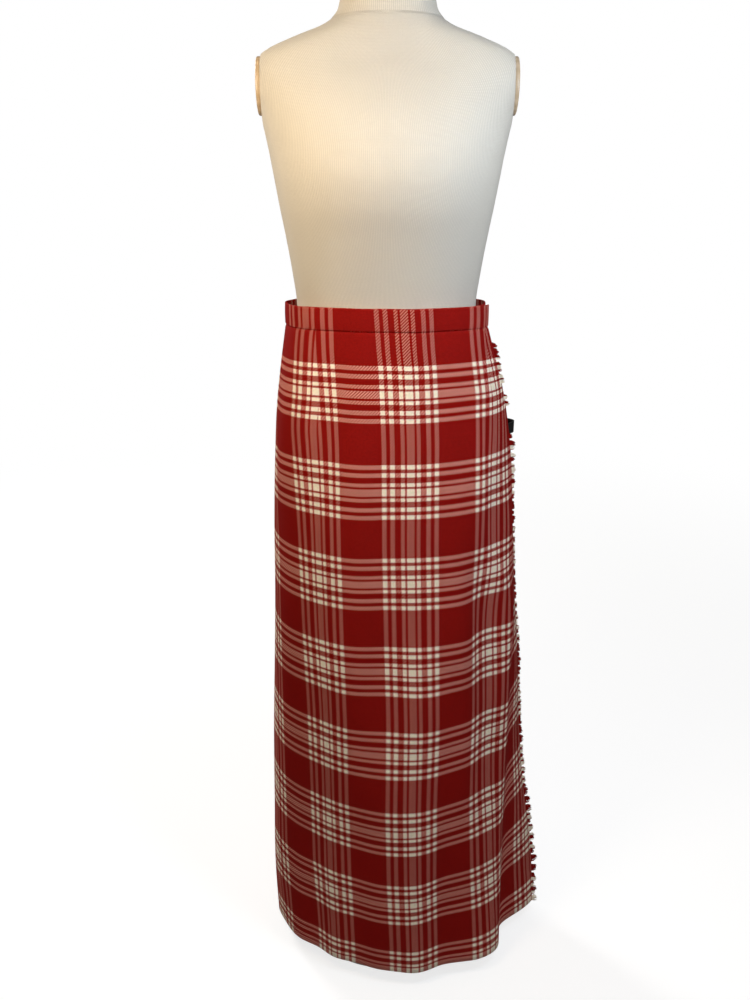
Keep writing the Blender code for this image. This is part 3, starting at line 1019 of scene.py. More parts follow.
def link(
    name: str, mesh: bpy.types.Mesh, finish: bpy.types.Material, node: str = ""
) -> bpy.types.Object:
    """Adds a mesh to the scene as a piece that rides on the part's one body.

    Args:
        name: The piece's name.
        mesh: Its mesh, in place.
        finish: Its material.
        node: The solid that it stands for, if there is one.

    Returns:
        The object.
    """
    mesh.name = name
    mesh.materials.clear()
    mesh.materials.append(finish)
    piece = bpy.data.objects.new(name, mesh)
    bpy.context.scene.collection.objects.link(piece)
    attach(piece, BODY)
    if node:
        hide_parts(node)
    return piece


def mesh_from(shape: bmesh.types.BMesh, name: str, smooth: bool = True) -> bpy.types.Mesh:
    """Turns a bmesh into a mesh and frees it.

    Args:
        shape: The bmesh.
        name: The mesh's name.
        smooth: Whether its faces are shaded smooth.

    Returns:
        The mesh.
    """
    mesh = bpy.data.meshes.new(name)
    shape.to_mesh(mesh)
    shape.free()
    if smooth:
        mesh.shade_smooth()
        mesh.set_sharp_from_angle(angle=math.radians(50))
    return mesh


def reopened(mesh: bpy.types.Mesh) -> bmesh.types.BMesh:
    """Turns a mesh back into a bmesh and removes the mesh.

    Args:
        mesh: The mesh.

    Returns:
        The bmesh.
    """
    shape = bmesh.new()
    shape.from_mesh(mesh)
    bpy.data.meshes.remove(mesh)
    return shape


def cut_row(across: Array, down: float) -> Array:
    """Returns one row of cloth coordinates, across and down in metres."""
    return np.stack([across, np.full_like(across, down)], axis=-1)


def drape(name: str, places: Array, cut: Array) -> bpy.types.Mesh:
    """Cuts a flat sheet as a grid and lays it over its form, point by point.

    Args:
        name: The mesh's name.
        places: The grid's places, rows from the bottom up, columns with growing turn.
        cut: The cloth coordinates of the same grid, across and down in metres.

    Returns:
        The draped sheet with its cut as a UV map.
    """
    rows, columns = places.shape[:2]
    sheet = bmesh.new()
    bmesh.ops.create_grid(sheet, x_segments=columns - 1, y_segments=rows - 1, size=0.5)
    layer = sheet.loops.layers.uv.new(CUT_LAYER)
    flat_places, flat_cut = places.reshape(-1, 3), cut.reshape(-1, 2)
    for vertex in sheet.verts:
        column = round((vertex.co.x + 0.5) * (columns - 1))
        row = round((vertex.co.y + 0.5) * (rows - 1))
        vertex.index = row * columns + column
    for face in sheet.faces:
        for corner in face.loops:
            corner[layer].uv = flat_cut[corner.vert.index]
    for vertex in sheet.verts:
        vertex.co = flat_places[vertex.index]
    sheet.normal_update()
    return mesh_from(sheet, name)


def thicken(piece: bpy.types.Object, wall: float, edge: float = 0.0) -> None:
    """Gives a sheet its wall, with rounded rims where edge is set.

    Args:
        piece: The sheet's object.
        wall: Its thickness.
        edge: The radius of its rims.
    """
    solidify = piece.modifiers.new("wall", "SOLIDIFY")
    solidify.thickness = wall
    solidify.offset = 0.0
    solidify.use_even_offset = True
    if edge:
        bevel = piece.modifiers.new("rim", "BEVEL")
        bevel.width = edge
        bevel.segments = 3
        bevel.limit_method = "ANGLE"
        bevel.angle_limit = math.radians(60)


def cloth_panel(
    node: str,
    rows: Sequence[tuple[Array, Array]],
    cloth: bpy.types.Material,
    wall: float,
    edge: float = 0.0,
) -> bpy.types.Object:
    """Drapes one panel of the plaid cloth in place of its solid.

    Args:
        node: The solid.
        rows: The places and the cloth coordinates of each row, from the bottom up.
        cloth: The cloth's material.
        wall: Its thickness.
        edge: The radius of its rims.

    Returns:
        The panel.
    """
    name = node + "_cloth"
    places, cut = (np.array(part) for part in zip(*rows))
    piece = link(name, drape(name, places, cut), cloth, node)
    thicken(piece, wall, edge)
    return piece


def spun(name: str, profile: Sequence[tuple[float, float]], steps: int) -> bpy.types.Mesh:
    """Turns a profile about the upright axis.

    Args:
        name: The mesh's name.
        profile: Radii and heights from the top of the axis to its bottom.
        steps: The number of steps round.

    Returns:
        The closed mesh.
    """
    shape = bmesh.new()
    line = [shape.verts.new((radius, 0.0, height)) for radius, height in profile]
    for start, end in zip(line, line[1:]):
        shape.edges.new((start, end))
    bmesh.ops.spin(
        shape,
        geom=shape.verts[:] + shape.edges[:],
        cent=(0, 0, 0),
        axis=(0, 0, 1),
        angle=2 * math.pi,
        steps=steps,
        use_merge=True,
    )
    bmesh.ops.remove_doubles(shape, verts=shape.verts, dist=1e-5)
    bmesh.ops.recalc_face_normals(shape, faces=shape.faces)
    return mesh_from(shape, name)


def softened(corners: Sequence[tuple[float, float]], radius: float) -> list[tuple[float, float]]:
    """Rounds the corners of a profile.

    Args:
        corners: The profile's points.
        radius: How far from each corner the rounding starts.

    Returns:
        The longer profile.
    """
    points = [tuple(corners[0])]
    for before, corner, after in zip(corners, corners[1:], corners[2:]):
        here, back, ahead = Vector(corner), Vector(before), Vector(after)
        reach = min(radius, (back - here).length * 0.45, (ahead - here).length * 0.45)
        start = here + (back - here).normalized() * reach
        end = here + (ahead - here).normalized() * reach
        for share in (0.0, 0.25, 0.5, 0.75, 1.0):
            bend = start * (1 - share) ** 2 + here * 2 * share * (1 - share) + end * share**2
            points.append((bend.x, bend.y))
    points.append(tuple(corners[-1]))
    return points


# Cloth pieces


@dataclass
class OverApron:
    """The flat front, from its fringed free edge round to the left hip, where it folds under."""

    outline: Outline
    grain: Grain
    rows: int = 125
    wall: float = 0.8 * MM
    columns: tuple[int, int, int] = (36, 88, 50)
    dart_width: float = 0.9 * MM
    dart_pinch: float = 0.7 * MM
    dart_spread: float = 1.6 * MM
    dart_full: float = 9.0
    fold_steps: int = 6
    return_steps: int = 16
    return_widths: int = 2

    def front_arcs(self, section: Section) -> tuple[Array, Array]:
        """Measures the cloth along one level.

        Args:
            section: The level.

        Returns:
            Turns and their arc lengths from the middle of the front, in metres.
        """
        turns = np.linspace(Section.FIRST_FOLD, section.edge_turn, 700)
        run = section.length_of(turns, section.outer(turns))
        return turns, run - np.interp(0.0, turns, run)

    def row(self, section: Section) -> tuple[Array, Array]:
        """Lays one level of the apron.

        Args:
            section: The level.

        Returns:
            Its places and its cloth coordinates, from the inner end of the fold to the free edge.
        """
        turns, arcs = self.front_arcs(section)
        raw = self.grain.across(arcs, section.drop)
        left_before, left_after = self.grain.left_dart.at(section.drop)
        right_before, right_after = self.grain.right_dart.at(section.drop)
        left_line = float(np.interp(left_after, raw, arcs))
        right_line = float(np.interp(right_before, raw, arcs))
        left_width, right_width = left_after - left_before, right_after - right_before
        half = self.dart_width / 2
        arc = np.concatenate(
            [
                np.linspace(arcs[0], left_line - half, self.columns[0]),
                np.linspace(left_line + half, right_line - half, self.columns[1]),
                np.linspace(right_line + half, arcs[-1], self.columns[2]),
            ]
        )
        across = self.grain.across(arc, section.drop)
        across = across - np.where(arc < left_line, left_width, 0.0)
        across = (across + np.where(arc > right_line, right_width, 0.0)) * MM
        turn = np.interp(arc, arcs, turns)
        radius = section.outer(turn)
        for line, width in ((left_line, left_width), (right_line, right_width)):
            pinch = self.dart_pinch * ease(width / self.dart_full)
            radius = radius - pinch * np.exp(-(((arc - line) / self.dart_spread) ** 2))
        fold_places, fold_cut = self.fold(section, float(across[0]))
        places = np.concatenate([fold_places, section.points(turn, radius)])
        return places, cut_row(np.concatenate([fold_cut, across]), section.drop)

    def fold(self, section: Section, start: float) -> tuple[Array, Array]:
        """Lays the fold at the left hip and the cloth that runs back under it.

        Args:
            section: The level.
            start: The cloth coordinate at the fold.

        Returns:
            Places and cloth coordinates, from the inner end to just before the fold.
        """
        layer = section.layer
        angles = np.linspace(0.0, math.pi, self.fold_steps + 2)[1:-1]
        bend_run = layer / 2 * np.sin(angles)
        bend_depth = layer / 2 * (1 - np.cos(angles))
        under = np.linspace(0.0, -self.return_widths, self.return_steps)
        run = np.concatenate([section.station_run(0.0) + bend_run, section.station_run(under)])
        depth = np.concatenate([bend_depth, np.full_like(under, layer)])
        turn = section.turn_at(run)
        radius = section.hull(turn) - depth
        places = section.points(turn, radius)
        steps = np.linalg.norm(np.diff(places, axis=0), axis=1)
        cut = start - np.concatenate([[layer / 4], layer / 4 + np.cumsum(steps)])
        return places[::-1], cut[::-1]

    def build(self, cloth: bpy.types.Material) -> bpy.types.Object:
        """Returns the finished apron."""
        rows = [self.row(section) for section in self.outline.sections(self.rows)]
        return cloth_panel("over_apron", rows, cloth, self.wall)


@dataclass
class PleatedBack:
    """Sixteen knife pleats, one sheet folded to and fro round the back."""

    outline: Outline
    grain: Grain
    rows: int = 81
    wall: float = 0.8 * MM
    fold_widths: int = 2
    face_steps: int = 9
    return_steps: int = 5
    bend_steps: int = 3
    flare: float = 3.8 * MM
    flare_reach: float = 0.32

    def path(self) -> Array:
        """Lists one row of the folded cloth.

        Returns:
            For each point its station, its depth in layers, its bend's share of half a layer,
            its pleat and its direction from that pleat's fold.
        """
        rows: list[tuple[float, float, float, int, int]] = []
        for pleat in range(1, Section.PLEATS + 1):
            reach = self.fold_widths + 1
            for share in np.linspace(0.0, 1.0, self.face_steps):
                away = reach * (1 - share)
                rows.append((pleat - away, 2 * away, 0.0, pleat, 1))
            for angle in np.linspace(0.0, math.pi, self.bend_steps + 2)[1:-1]:
                side = 1 if angle < math.pi / 2 else -1
                rows.append((pleat, (1 - math.cos(angle)) / 2, math.sin(angle), pleat, side))
            for away in np.linspace(0.0, self.fold_widths, self.return_steps):
                rows.append((pleat - away, 1 + 2 * away, 0.0, pleat, -1))
            if pleat == Section.PLEATS:
                break
            for angle in np.linspace(0.0, math.pi, self.bend_steps + 2)[1:-1]:
                depth = 1 + 2 * self.fold_widths + (1 - math.cos(angle)) / 2
                rows.append((pleat - self.fold_widths, depth, -math.sin(angle), pleat, -1))
        return np.array(rows, float)

    def build(self, cloth: bpy.types.Material) -> bpy.types.Object:
        """Builds the pleats.

        Args:
            cloth: The cloth's material.

        Returns:
            The finished pleats.
        """
        path = self.path()
        station, depth, bend, pleat, side = path.T
        away = pleat - station
        across = self.grain.fold_cut(pleat) + side * away * self.grain.take_up * MM
        lifts = np.array([uneven(number, 2.0) for number in pleat])
        near_fold = np.exp(-((away / self.flare_reach) ** 2))
        rows = []
        for section in self.outline.sections(self.rows):
            layer = section.layer
            run = section.station_run(station) + bend * layer / 2
            turn = section.turn_at(run)
            share = section.drop / CLOTH_LENGTH
            flare = self.flare * (0.75 + 0.35 * lifts) * near_fold * share**1.2
            ahead = 2 * np.maximum(0.0, -station)
            radius = section.hull(turn) - layer * np.maximum(depth - ahead, np.minimum(depth, 1.0)) + flare
            rows.append((section.points(turn, radius)[::-1], cut_row(across, section.drop)[::-1]))
        return cloth_panel("pleated_back", rows, cloth, self.wall)


@dataclass
class UnderApron:
    """The flat panel that comes out of the last pleat and lies under the over-apron."""

    outline: Outline
    grain: Grain
    rows: int = 61
    columns: int = 74
    wall: float = 0.8 * MM
    fade_turn: float = 30.0
    fold_widths: int = 2

    def build(self, cloth: bpy.types.Material) -> bpy.types.Object:
        """Builds the under-apron.

        Args:
            cloth: The cloth's material.

        Returns:
            The finished under-apron.
        """
        rows = []
        start = self.grain.fold_cut(Section.PLEATS)
        for section in self.outline.sections(self.rows):
            stations = np.linspace(Section.PLEATS - self.fold_widths, Section.PLEATS, 10)[:-1]
            inner_turn = section.turn_at(section.station_run(stations)) + 360.0
            inner_depth = 2 * (Section.PLEATS + 1 - stations)
            last = Section.LAST_FOLD + 360.0
            outer_turn = np.linspace(last, Section.UNDER_APRON_END, self.columns)
            share = np.clip((outer_turn - self.fade_turn) / (last - self.fade_turn), 0.0, 1.0)
            turn = np.concatenate([inner_turn, outer_turn])
            depth = np.concatenate([inner_depth, 2 * share]) * section.layer
            gap = Section.UNDER_GAP * ease(-turn / 6.0 + 0.5)
            radius = section.hull(turn) - depth - gap
            laid = section.points(turn, radius)[::-1]
            run = np.concatenate([[0.0], np.cumsum(np.linalg.norm(np.diff(laid, axis=0), axis=1))])
            rows.append((laid, cut_row(start + run - run[-1], section.drop)))
        return cloth_panel("under_apron", rows, cloth, self.wall)


@dataclass
class Waistband:
    """One doubled strip that wraps over the under-apron, the pleats and the over-apron."""

    outline: Outline
    grain: Grain
    height: float = 29 * MM
    seam_gap: float = 0.45 * MM
    wall: float = 2.1 * MM
    under_drop: float = 4.4 * MM
    back_drop: float = 1.2 * MM
    end_turn: float = 76.0
    step: float = 1.6
    rows: int = 11
    puff: float = 0.35 * MM
    lean_in: float = 0.2 * MM
    ripple: float = 0.25 * MM
    ripple_pace: float = 61.0
    rim: float = 0.7 * MM
    ground_middle: float = 0.1435

    def path(self, section: Section) -> tuple[Array, Array]:
        """Lists the band's run round the waist.

        Args:
            section: The waist seam's level.

        Returns:
            Turns that grow all the way round, and radii.
        """
        last, first = Section.LAST_FOLD + 360.0, Section.FIRST_FOLD + 360.0
        under = np.arange(Section.UNDER_APRON_END, last, self.step)
        back = np.arange(last + 6.0, first - 4.0, self.step)
        front = np.arange(Section.FIRST_FOLD, self.end_turn + 0.1, self.step)
        turns = np.concatenate([under, back, front + 360.0])
        radii = np.concatenate(
            [
                section.over(under) - self.under_drop,
                section.hull(back) - self.back_drop,
                section.outer(front),
            ]
        )
        even = np.linspace(turns[0], turns[-1], 300)
        return even, np.interp(even, turns, radii)

    def build(self, cloth: bpy.types.Material) -> bpy.types.Object:
        """Builds the waistband.

        Args:
            cloth: The cloth's material.

        Returns:
            The finished waistband.
        """
        section = self.outline.section(0.0)
        turns, radii = self.path(section)
        run = section.length_of(turns, radii)
        arc = run - np.interp(360.0, turns, run)
        rows = []
        for share in np.linspace(0.0, 1.0, self.rows):
            height = SEAM_HEIGHT + self.seam_gap + share * (self.height - self.seam_gap)
            across = self.grain.across(arc, SEAM_HEIGHT - height) * MM
            bulge = self.puff * math.sin(math.pi * share) - self.lean_in * share
            ripple = self.ripple * np.sin(run * self.ripple_pace + 2.0 * share) * share
            x, y = section.flat(turns, radii + bulge + ripple)
            down = self.ground_middle + self.height * (0.5 - share)
            rows.append((np.stack([x, y, np.full_like(x, height)], axis=-1), cut_row(across, down)))
        return cloth_panel("waistband", rows, cloth, self.wall, self.rim)


@dataclass
class ApronFringe:
    """The frayed free edge: weft yarns that hang together in rounded tufts."""

    outline: Outline
    tufts: int = 116
    yarns: int = 24
    top: float = 22 * MM
    bottom: float = 978 * MM
    drops: tuple[float, ...] = (0, 60, 150, 200, 225, 330, 345, 425, 440, 470, 640, 760, 980)
    lengths: tuple[float, ...] = (8.5, 7.5, 8.5, 8.0, 5.2, 4.8, 3.4, 3.4, 6.0, 5.2, 6.8, 9.5, 10.5)
    droop: float = 1.2 * MM
    splay: float = 0.60
    yarn: float = 0.56 * MM
    taper: float = 0.45
    root: float = 0.8 * MM
    bow: float = 1.0 * MM
    layers: int = 4
    layer_gap: float = 0.70 * MM
    jitter: float = 0.30 * MM
    rings: int = 5
    bare: tuple[tuple[float, float], ...] = ((80 * MM, 100 * MM), (114 * MM, 150 * MM))
    probe: float = 3.0

    def edge(self, drop: float) -> tuple[Vector, Vector]:
        """Finds the over-apron's free edge.

        Args:
            drop: The level.

        Returns:
            Its place and the way the cloth runs off it.
        """
        section = self.outline.section(drop)
        turns = np.array([section.edge_turn - self.probe, section.edge_turn])
        inner, outer = section.points(turns, section.over(turns))
        return Vector(outer), Vector(outer - inner).normalized()

    def template(self) -> bpy.types.Mesh:
        """Makes one straight yarn, a three sided tube whose rings are one unit apart.

        Returns:
            Its mesh.
        """
        shape = bmesh.new()
        ring = bmesh.ops.create_circle(shape, segments=3, radius=1.0, cap_ends=False)["verts"]
        edges = list({edge for vertex in ring for edge in vertex.link_edges})
        for _ in range(self.rings - 1):
            grown = bmesh.ops.extrude_edge_only(shape, edges=edges)["geom"]
            ring = [item for item in grown if isinstance(item, bmesh.types.BMVert)]
            edges = [item for item in grown if isinstance(item, bmesh.types.BMEdge)]
            bmesh.ops.translate(shape, verts=ring, vec=(0, 0, 1.0))
        bmesh.ops.holes_fill(shape, edges=edges)
        bmesh.ops.recalc_face_normals(shape, faces=shape.faces)
        return mesh_from(shape, "fringe_yarn")

    def tuft_size(self, number: int) -> float:
        """Returns a tuft's length as a share of the full one."""
        return 0.80 + 0.17 * uneven(number, 0.4) + 0.15 * math.sin(0.83 * number + math.sin(0.31 * number))

    def yarn_path(self, tuft: int, number: int, pitch: float) -> tuple[float, Array]:
        """Bends one yarn.

        Args:
            tuft: The tuft's number.
            number: The yarn's number in it.
            pitch: The height of a tuft.

        Returns:
            The level of the yarn's root and the middle of each of its rings.
        """
        key = tuft * 31.0 + number
        share = (number + 0.5) / self.yarns
        middle = self.top + (tuft + 0.5 + 0.22 * uneven(tuft, 6.0)) * pitch
        drop = middle + (share - 0.5) * pitch * (0.92 + 0.16 * uneven(tuft, 8.0))
        place, run = self.edge(drop)
        outward = Vector((run.y, -run.x, 0.0))
        lobe = math.sqrt(max(0.0, 1.0 - (2 * share - 1) ** 2))
        splay = self.splay * (0.9 + 0.6 * uneven(tuft, 3.0)) + 0.35 * uneven(key, 1.0)
        along = (run + splay * outward).normalized()
        length = float(np.interp(drop / MM, self.drops, self.lengths)) * MM
        reach = length * self.tuft_size(tuft) * (0.78 + 0.22 * lobe) * (1 + 0.08 * uneven(key, 5.0))
        pull = (share - 0.5) * pitch * (0.48 + 0.24 * uneven(tuft, 2.0))
        droop = self.droop * (0.7 + 0.8 * uneven(tuft, 7.0))
        layer = (number % self.layers - (self.layers - 1) / 2) * self.layer_gap
        points = []
        for ring in range(self.rings):
            t = ring / (self.rings - 1)
            bow = outward * (self.bow * math.sin(math.pi * t) + layer * math.sin(math.pi * t * 0.85))
            point = place - run * self.root + along * reach * t + bow
            point = point + Vector((0, 0, pull * t**2.5 - droop * t * t))
            jitter = self.jitter * t
            point += outward * jitter * uneven(key + ring, 9.0)
            point += Vector((0, 0, jitter * uneven(key + ring, 4.0)))
            points.append(point)
        return drop, np.array([tuple(point) for point in points])

    def build(self, cloth: bpy.types.Material) -> bpy.types.Object:
        """Builds the fringe from copies of one yarn, each bent to its own path.

        Args:
            cloth: The loose yarns' material.

        Returns:
            The finished fringe.
        """
        pitch = (self.bottom - self.top) / self.tufts
        template = self.template()
        paths = []
        for tuft in range(self.tufts):
            middle = self.top + (tuft + 0.5) * pitch
            if any(start < middle < end for start, end in self.bare):
                continue
            paths += [self.yarn_path(tuft, number, pitch) for number in range(self.yarns)]
        shape = bmesh.new()
        for _ in paths:
            shape.from_mesh(template)
        bpy.data.meshes.remove(template)
        layer = shape.loops.layers.uv.new(CUT_LAYER)
        shape.verts.ensure_lookup_table()
        count = len(shape.verts) // len(paths)
        for index, vertex in enumerate(shape.verts):
            drop, points = paths[index // count]
            ring = round(vertex.co.z)
            ahead = Vector(points[min(ring + 1, self.rings - 1)] - points[max(ring - 1, 0)]).normalized()
            across = ahead.cross(Vector((0, 0, 1))).normalized()
            up = across.cross(ahead)
            radius = self.yarn * (1.0 - self.taper * (ring / (self.rings - 1)) ** 2)
            vertex.index = index
            vertex.co = Vector(points[ring]) + (across * vertex.co.x + up * vertex.co.y) * radius
        for face in shape.faces:
            for corner in face.loops:
                corner[layer].uv = (0.0, paths[corner.vert.index // count][0])
        name = "apron_fringe_yarns"
        return link(name, mesh_from(shape, name), cloth, "apron_fringe")


# Leather and metal at the hip


@dataclass
class HipFastening:
    """The black strap from the free edge to its buckle on the pleats, with their sewing."""

    outline: Outline
    drop: float = 150 * MM
    width: float = 16 * MM
    wall: float = 1.9 * MM
    solid_wall: float = 2.0 * MM
    under: float = 3.8 * MM
    lift: float = 4.8 * MM
    sewn_turns: tuple[float, ...] = (73.0, 77.0, 81.0)
    bow: tuple[tuple[float, float], ...] = (
        (85.0, 168.0),
        (88.2, 171.0),
        (91.0, 177.5),
        (93.5, 183.5),
        (96.5, 187.0),
        (99.5, 184.0),
        (102.5, 176.5),
        (105.5, 168.5),
    )
    tail_turns: tuple[float, ...] = (109.0, 113.0, 117.0, 121.0, 125.0, 129.0, 133.0)
    chape_turns: tuple[float, ...] = (111.0, 115.0, 119.0, 123.0, 127.0)
    chape_lift: float = 2.7 * MM
    chape_wall: float = 1.3 * MM
    chape_width: float = 20 * MM
    buckle_turn: float = 116.0
    rod: float = 1.5 * MM
    prong: float = 1.0 * MM
    half_long: float = 9 * MM
    half_tall: float = 11 * MM
    corner: float = 3 * MM
    clear: float = 0.3 * MM
    stitch: float = 2.2 * MM
    section: Section = field(init=False)

    def __post_init__(self) -> None:
        """Reads the outline at the strap's level."""
        knots, drop = Outline.TABLE[:, 0], self.drop / MM
        level = Level(*(float(np.interp(drop, knots, column)) for column in Outline.TABLE.T))
        self.section = Section(level)

    def ribbon(
        self, name: str, turns: Array, radii: Array, width: float, wall: float, point: bool
    ) -> bpy.types.Mesh:
        """Lays a flat strap on edge round the garment.

        Args:
            name: The mesh's name.
            turns: Its run, as turns.
            radii: Its distance from the axis at each turn.
            width: Its width.
            wall: Its thickness.
            point: Whether its far end is cut to a blunt point.

        Returns:
            The closed strap.
        """
        fine = np.linspace(turns[0], turns[-1], 90)
        radius = hermite(turns, radii, fine)
        x, y = self.section.flat(fine, radius)
        run = self.section.length_of(fine, radius)
        left = run[-1] - run
        places, cut = [], []
        for share in np.linspace(-1.0, 1.0, 9):
            half = np.full_like(run, width / 2)
            if point:
                half = np.minimum(half, width * 0.16 + left * 0.62)
            z = self.section.height + share * half
            places.append(np.stack([x, y, z], axis=-1))
            cut.append(np.stack([run, share * half], axis=-1))
        shape = reopened(drape(name, np.array(places), np.array(cut)))
        bmesh.ops.solidify(shape, geom=shape.faces[:], thickness=wall)
        return mesh_from(shape, name)

    def strap(self, leather: bpy.types.Material) -> bpy.types.Object:
        """Builds the strap.

        Args:
            leather: Its material.

        Returns:
            The strap.
        """
        section = self.section
        under = [(turn, float(section.over(turn)) - self.under) for turn in self.sewn_turns]
        bow = [(turn, radius * MM) for turn, radius in self.bow]
        tail = [(turn, float(section.hull(turn)) + self.lift) for turn in self.tail_turns]
        turns, radii = np.array(under + bow + tail).T
        name = "hip_strap_leather"
        mesh = self.ribbon(name, turns, radii + self.wall / 2, self.width, self.wall, True)
        return link(name, mesh, leather, "hip_strap")

    def chape(self, leather: bpy.types.Material) -> bpy.types.Object:
        """Builds the tab that holds the buckle.

        Args:
            leather: Its material.

        Returns:
            The tab.
        """
        turns = np.array(self.chape_turns)
        radii = self.section.hull(turns) + self.chape_lift
        name, wall = "buckle_chape_leather", self.chape_wall
        mesh = self.ribbon(name, turns, radii + wall / 2, self.chape_width, wall, False)
        return link(name, mesh, leather, "buckle_chape")

    def place(self, turn: float, lift: float, height: float = 0.0) -> Matrix:
        """Finds a frame on the hip: X round it, Y up and Z out.

        Args:
            turn: The turn.
            lift: The distance outside the pleats.
            height: The height above the strap's middle.

        Returns:
            The frame's matrix.
        """
        turns = np.array([turn - 3.0, turn, turn + 3.0])
        x, y = self.section.flat(turns, self.section.hull(turns))
        along = Vector((x[2] - x[0], y[2] - y[0], 0.0)).normalized()
        up = Vector((0, 0, 1))
        out = along.cross(up)
        radius = float(self.section.hull(turn)) + lift
        x, y = self.section.flat(turn, radius)
        turned = Matrix((along, up, out)).transposed().to_4x4()
        return Matrix.Translation((float(x), float(y), self.section.height + height)) @ turned

    def rod_mesh(
        self, name: str, points: Sequence[Vector], radius: float, closed: bool
    ) -> bpy.types.Mesh:
        """Bends a round rod through points.

        Args:
            name: The mesh's name.
            points: The rod's middle line.
            radius: Its radius.
            closed: Whether its ends meet.

        Returns:
            The rod's mesh on the hip.
        """
        curve = bpy.data.curves.new(name, "CURVE")
        curve.dimensions = "3D"
        curve.bevel_depth = radius
        curve.bevel_resolution = 5
        curve.use_fill_caps = not closed
        spline = curve.splines.new("POLY")
        spline.points.add(len(points) - 1)
        for knot, point in zip(spline.points, points):
            knot.co = (*point, 1.0)
        spline.use_cyclic_u = closed
        holder = bpy.data.objects.new(name, curve)
        mesh = bpy.data.meshes.new_from_object(holder)
        bpy.data.objects.remove(holder)
        lift = self.lift + self.solid_wall / 2 + self.clear + self.rod
        mesh.transform(self.place(self.buckle_turn, lift))
        shape = reopened(mesh)
        bmesh.ops.remove_doubles(shape, verts=shape.verts, dist=1e-6)
        bmesh.ops.recalc_face_normals(shape, faces=shape.faces)
        return mesh_from(shape, name)

    def buckle(self, steel: bpy.types.Material) -> list[bpy.types.Object]:
        """Builds the buckle.

        Args:
            steel: Its material.

        Returns:
            Its frame and its prong.
        """
        points = []
        flat_long, flat_tall = self.half_long - self.corner, self.half_tall - self.corner
        for number in range(4):
            sign_x = 1 if number in (0, 3) else -1
            sign_y = 1 if number < 2 else -1
            middle = Vector((sign_x * flat_long, sign_y * flat_tall, 0))
            for step in range(9):
                angle = math.radians(90 * number + 90 * step / 8)
                points.append(middle + self.corner * Vector((math.cos(angle), math.sin(angle), 0)))
        reach = self.half_long - self.rod - self.clear
        pin = [Vector((reach * share, 0, 0)) for share in np.linspace(-1.0, 1.0, 7)]
        return [
            link(name, self.rod_mesh(name, path, radius, closed), steel, node)
            for name, node, path, radius, closed in (
                ("hip_buckle_frame", "hip_buckle", points, self.rod, True),
                ("buckle_prong_pin", "buckle_prong", pin, self.prong, False),
            )
        ]

    def sewing(self, thread: bpy.types.Material) -> bpy.types.Object:
        """Builds the stitches that hold the buckle's tab to the pleats.

        Args:
            thread: Their material.

        Returns:
            The stitches, as one piece.
        """
        shape = bmesh.new()
        lift = self.chape_lift + self.chape_wall / 2 + 0.12 * MM
        edge = self.chape_width / 2 - 1.8 * MM
        spots = [(turn, side * edge, 0.0) for turn in np.arange(119.5, 126.6, 0.95) for side in (-1, 1)]
        spots += [(126.2, height, 90.0) for height in np.arange(-6.6 * MM, 7.0 * MM, 2.6 * MM)]
        for turn, height, slant in spots:
            made = bmesh.ops.create_cube(shape, size=1.0)["verts"]
            bmesh.ops.scale(shape, verts=made, vec=(self.stitch, 0.45 * MM, 0.34 * MM))
            bmesh.ops.rotate(shape, verts=made, matrix=Matrix.Rotation(math.radians(slant), 3, "Z"))
            bmesh.ops.transform(shape, verts=made, matrix=self.place(turn, lift, height))
        bmesh.ops.bevel(
            shape,
            geom=shape.edges[:],
            offset=0.13 * MM,
            segments=2,
            profile=0.5,
            affect="EDGES",
            material=-1,
        )
        return link("chape_stitches", mesh_from(shape, "chape_stitches"), thread)

    def build(
        self, leather: bpy.types.Material, steel: bpy.types.Material, thread: bpy.types.Material
    ) -> list[bpy.types.Object]:
        """Builds the whole fastening.

        Args:
            leather: The strap's material.
            steel: The buckle's material.
            thread: The stitches' material.

        Returns:
            Its pieces.
        """
        return [self.strap(leather), self.chape(leather), *self.buckle(steel), self.sewing(thread)]


# The dress form


@dataclass(frozen=True)
class FormLevel:
    """One level of the torso: height, half width and depths before and behind, in millimetres."""

    height: float
    half_width: float
    front: float
    back: float


FORM_LEVELS = (
    FormLevel(704, 132, 96, 104),
    FormLevel(712, 138, 102, 111),
    FormLevel(750, 144, 107, 119),
    FormLevel(820, 143.5, 106, 119),
    FormLevel(880, 139, 99, 109.5),
    FormLevel(930, 133.5, 92, 100.5),
    FormLevel(975, 127, 86, 92.5),
    FormLevel(1010, 122.5, 82.6, 88),
    FormLevel(1042, 122, 82.6, 87),
    FormLevel(1075, 126, 90, 90),
    FormLevel(1120, 133, 105, 95),
    FormLevel(1165, 141, 123, 99),
    FormLevel(1195, 146, 129, 102),
    FormLevel(1235, 153, 123, 106),
    FormLevel(1275, 162, 104, 108),
    FormLevel(1305, 170, 84, 101),
    FormLevel(1328, 169, 68, 88),
    FormLevel(1345, 152, 60, 76),
    FormLevel(1360, 116, 55, 68),
    FormLevel(1372, 82, 52, 62),
    FormLevel(1385, 65, 50, 58),
    FormLevel(1400, 59, 49, 55),
    FormLevel(1440, 57, 49, 53),
)


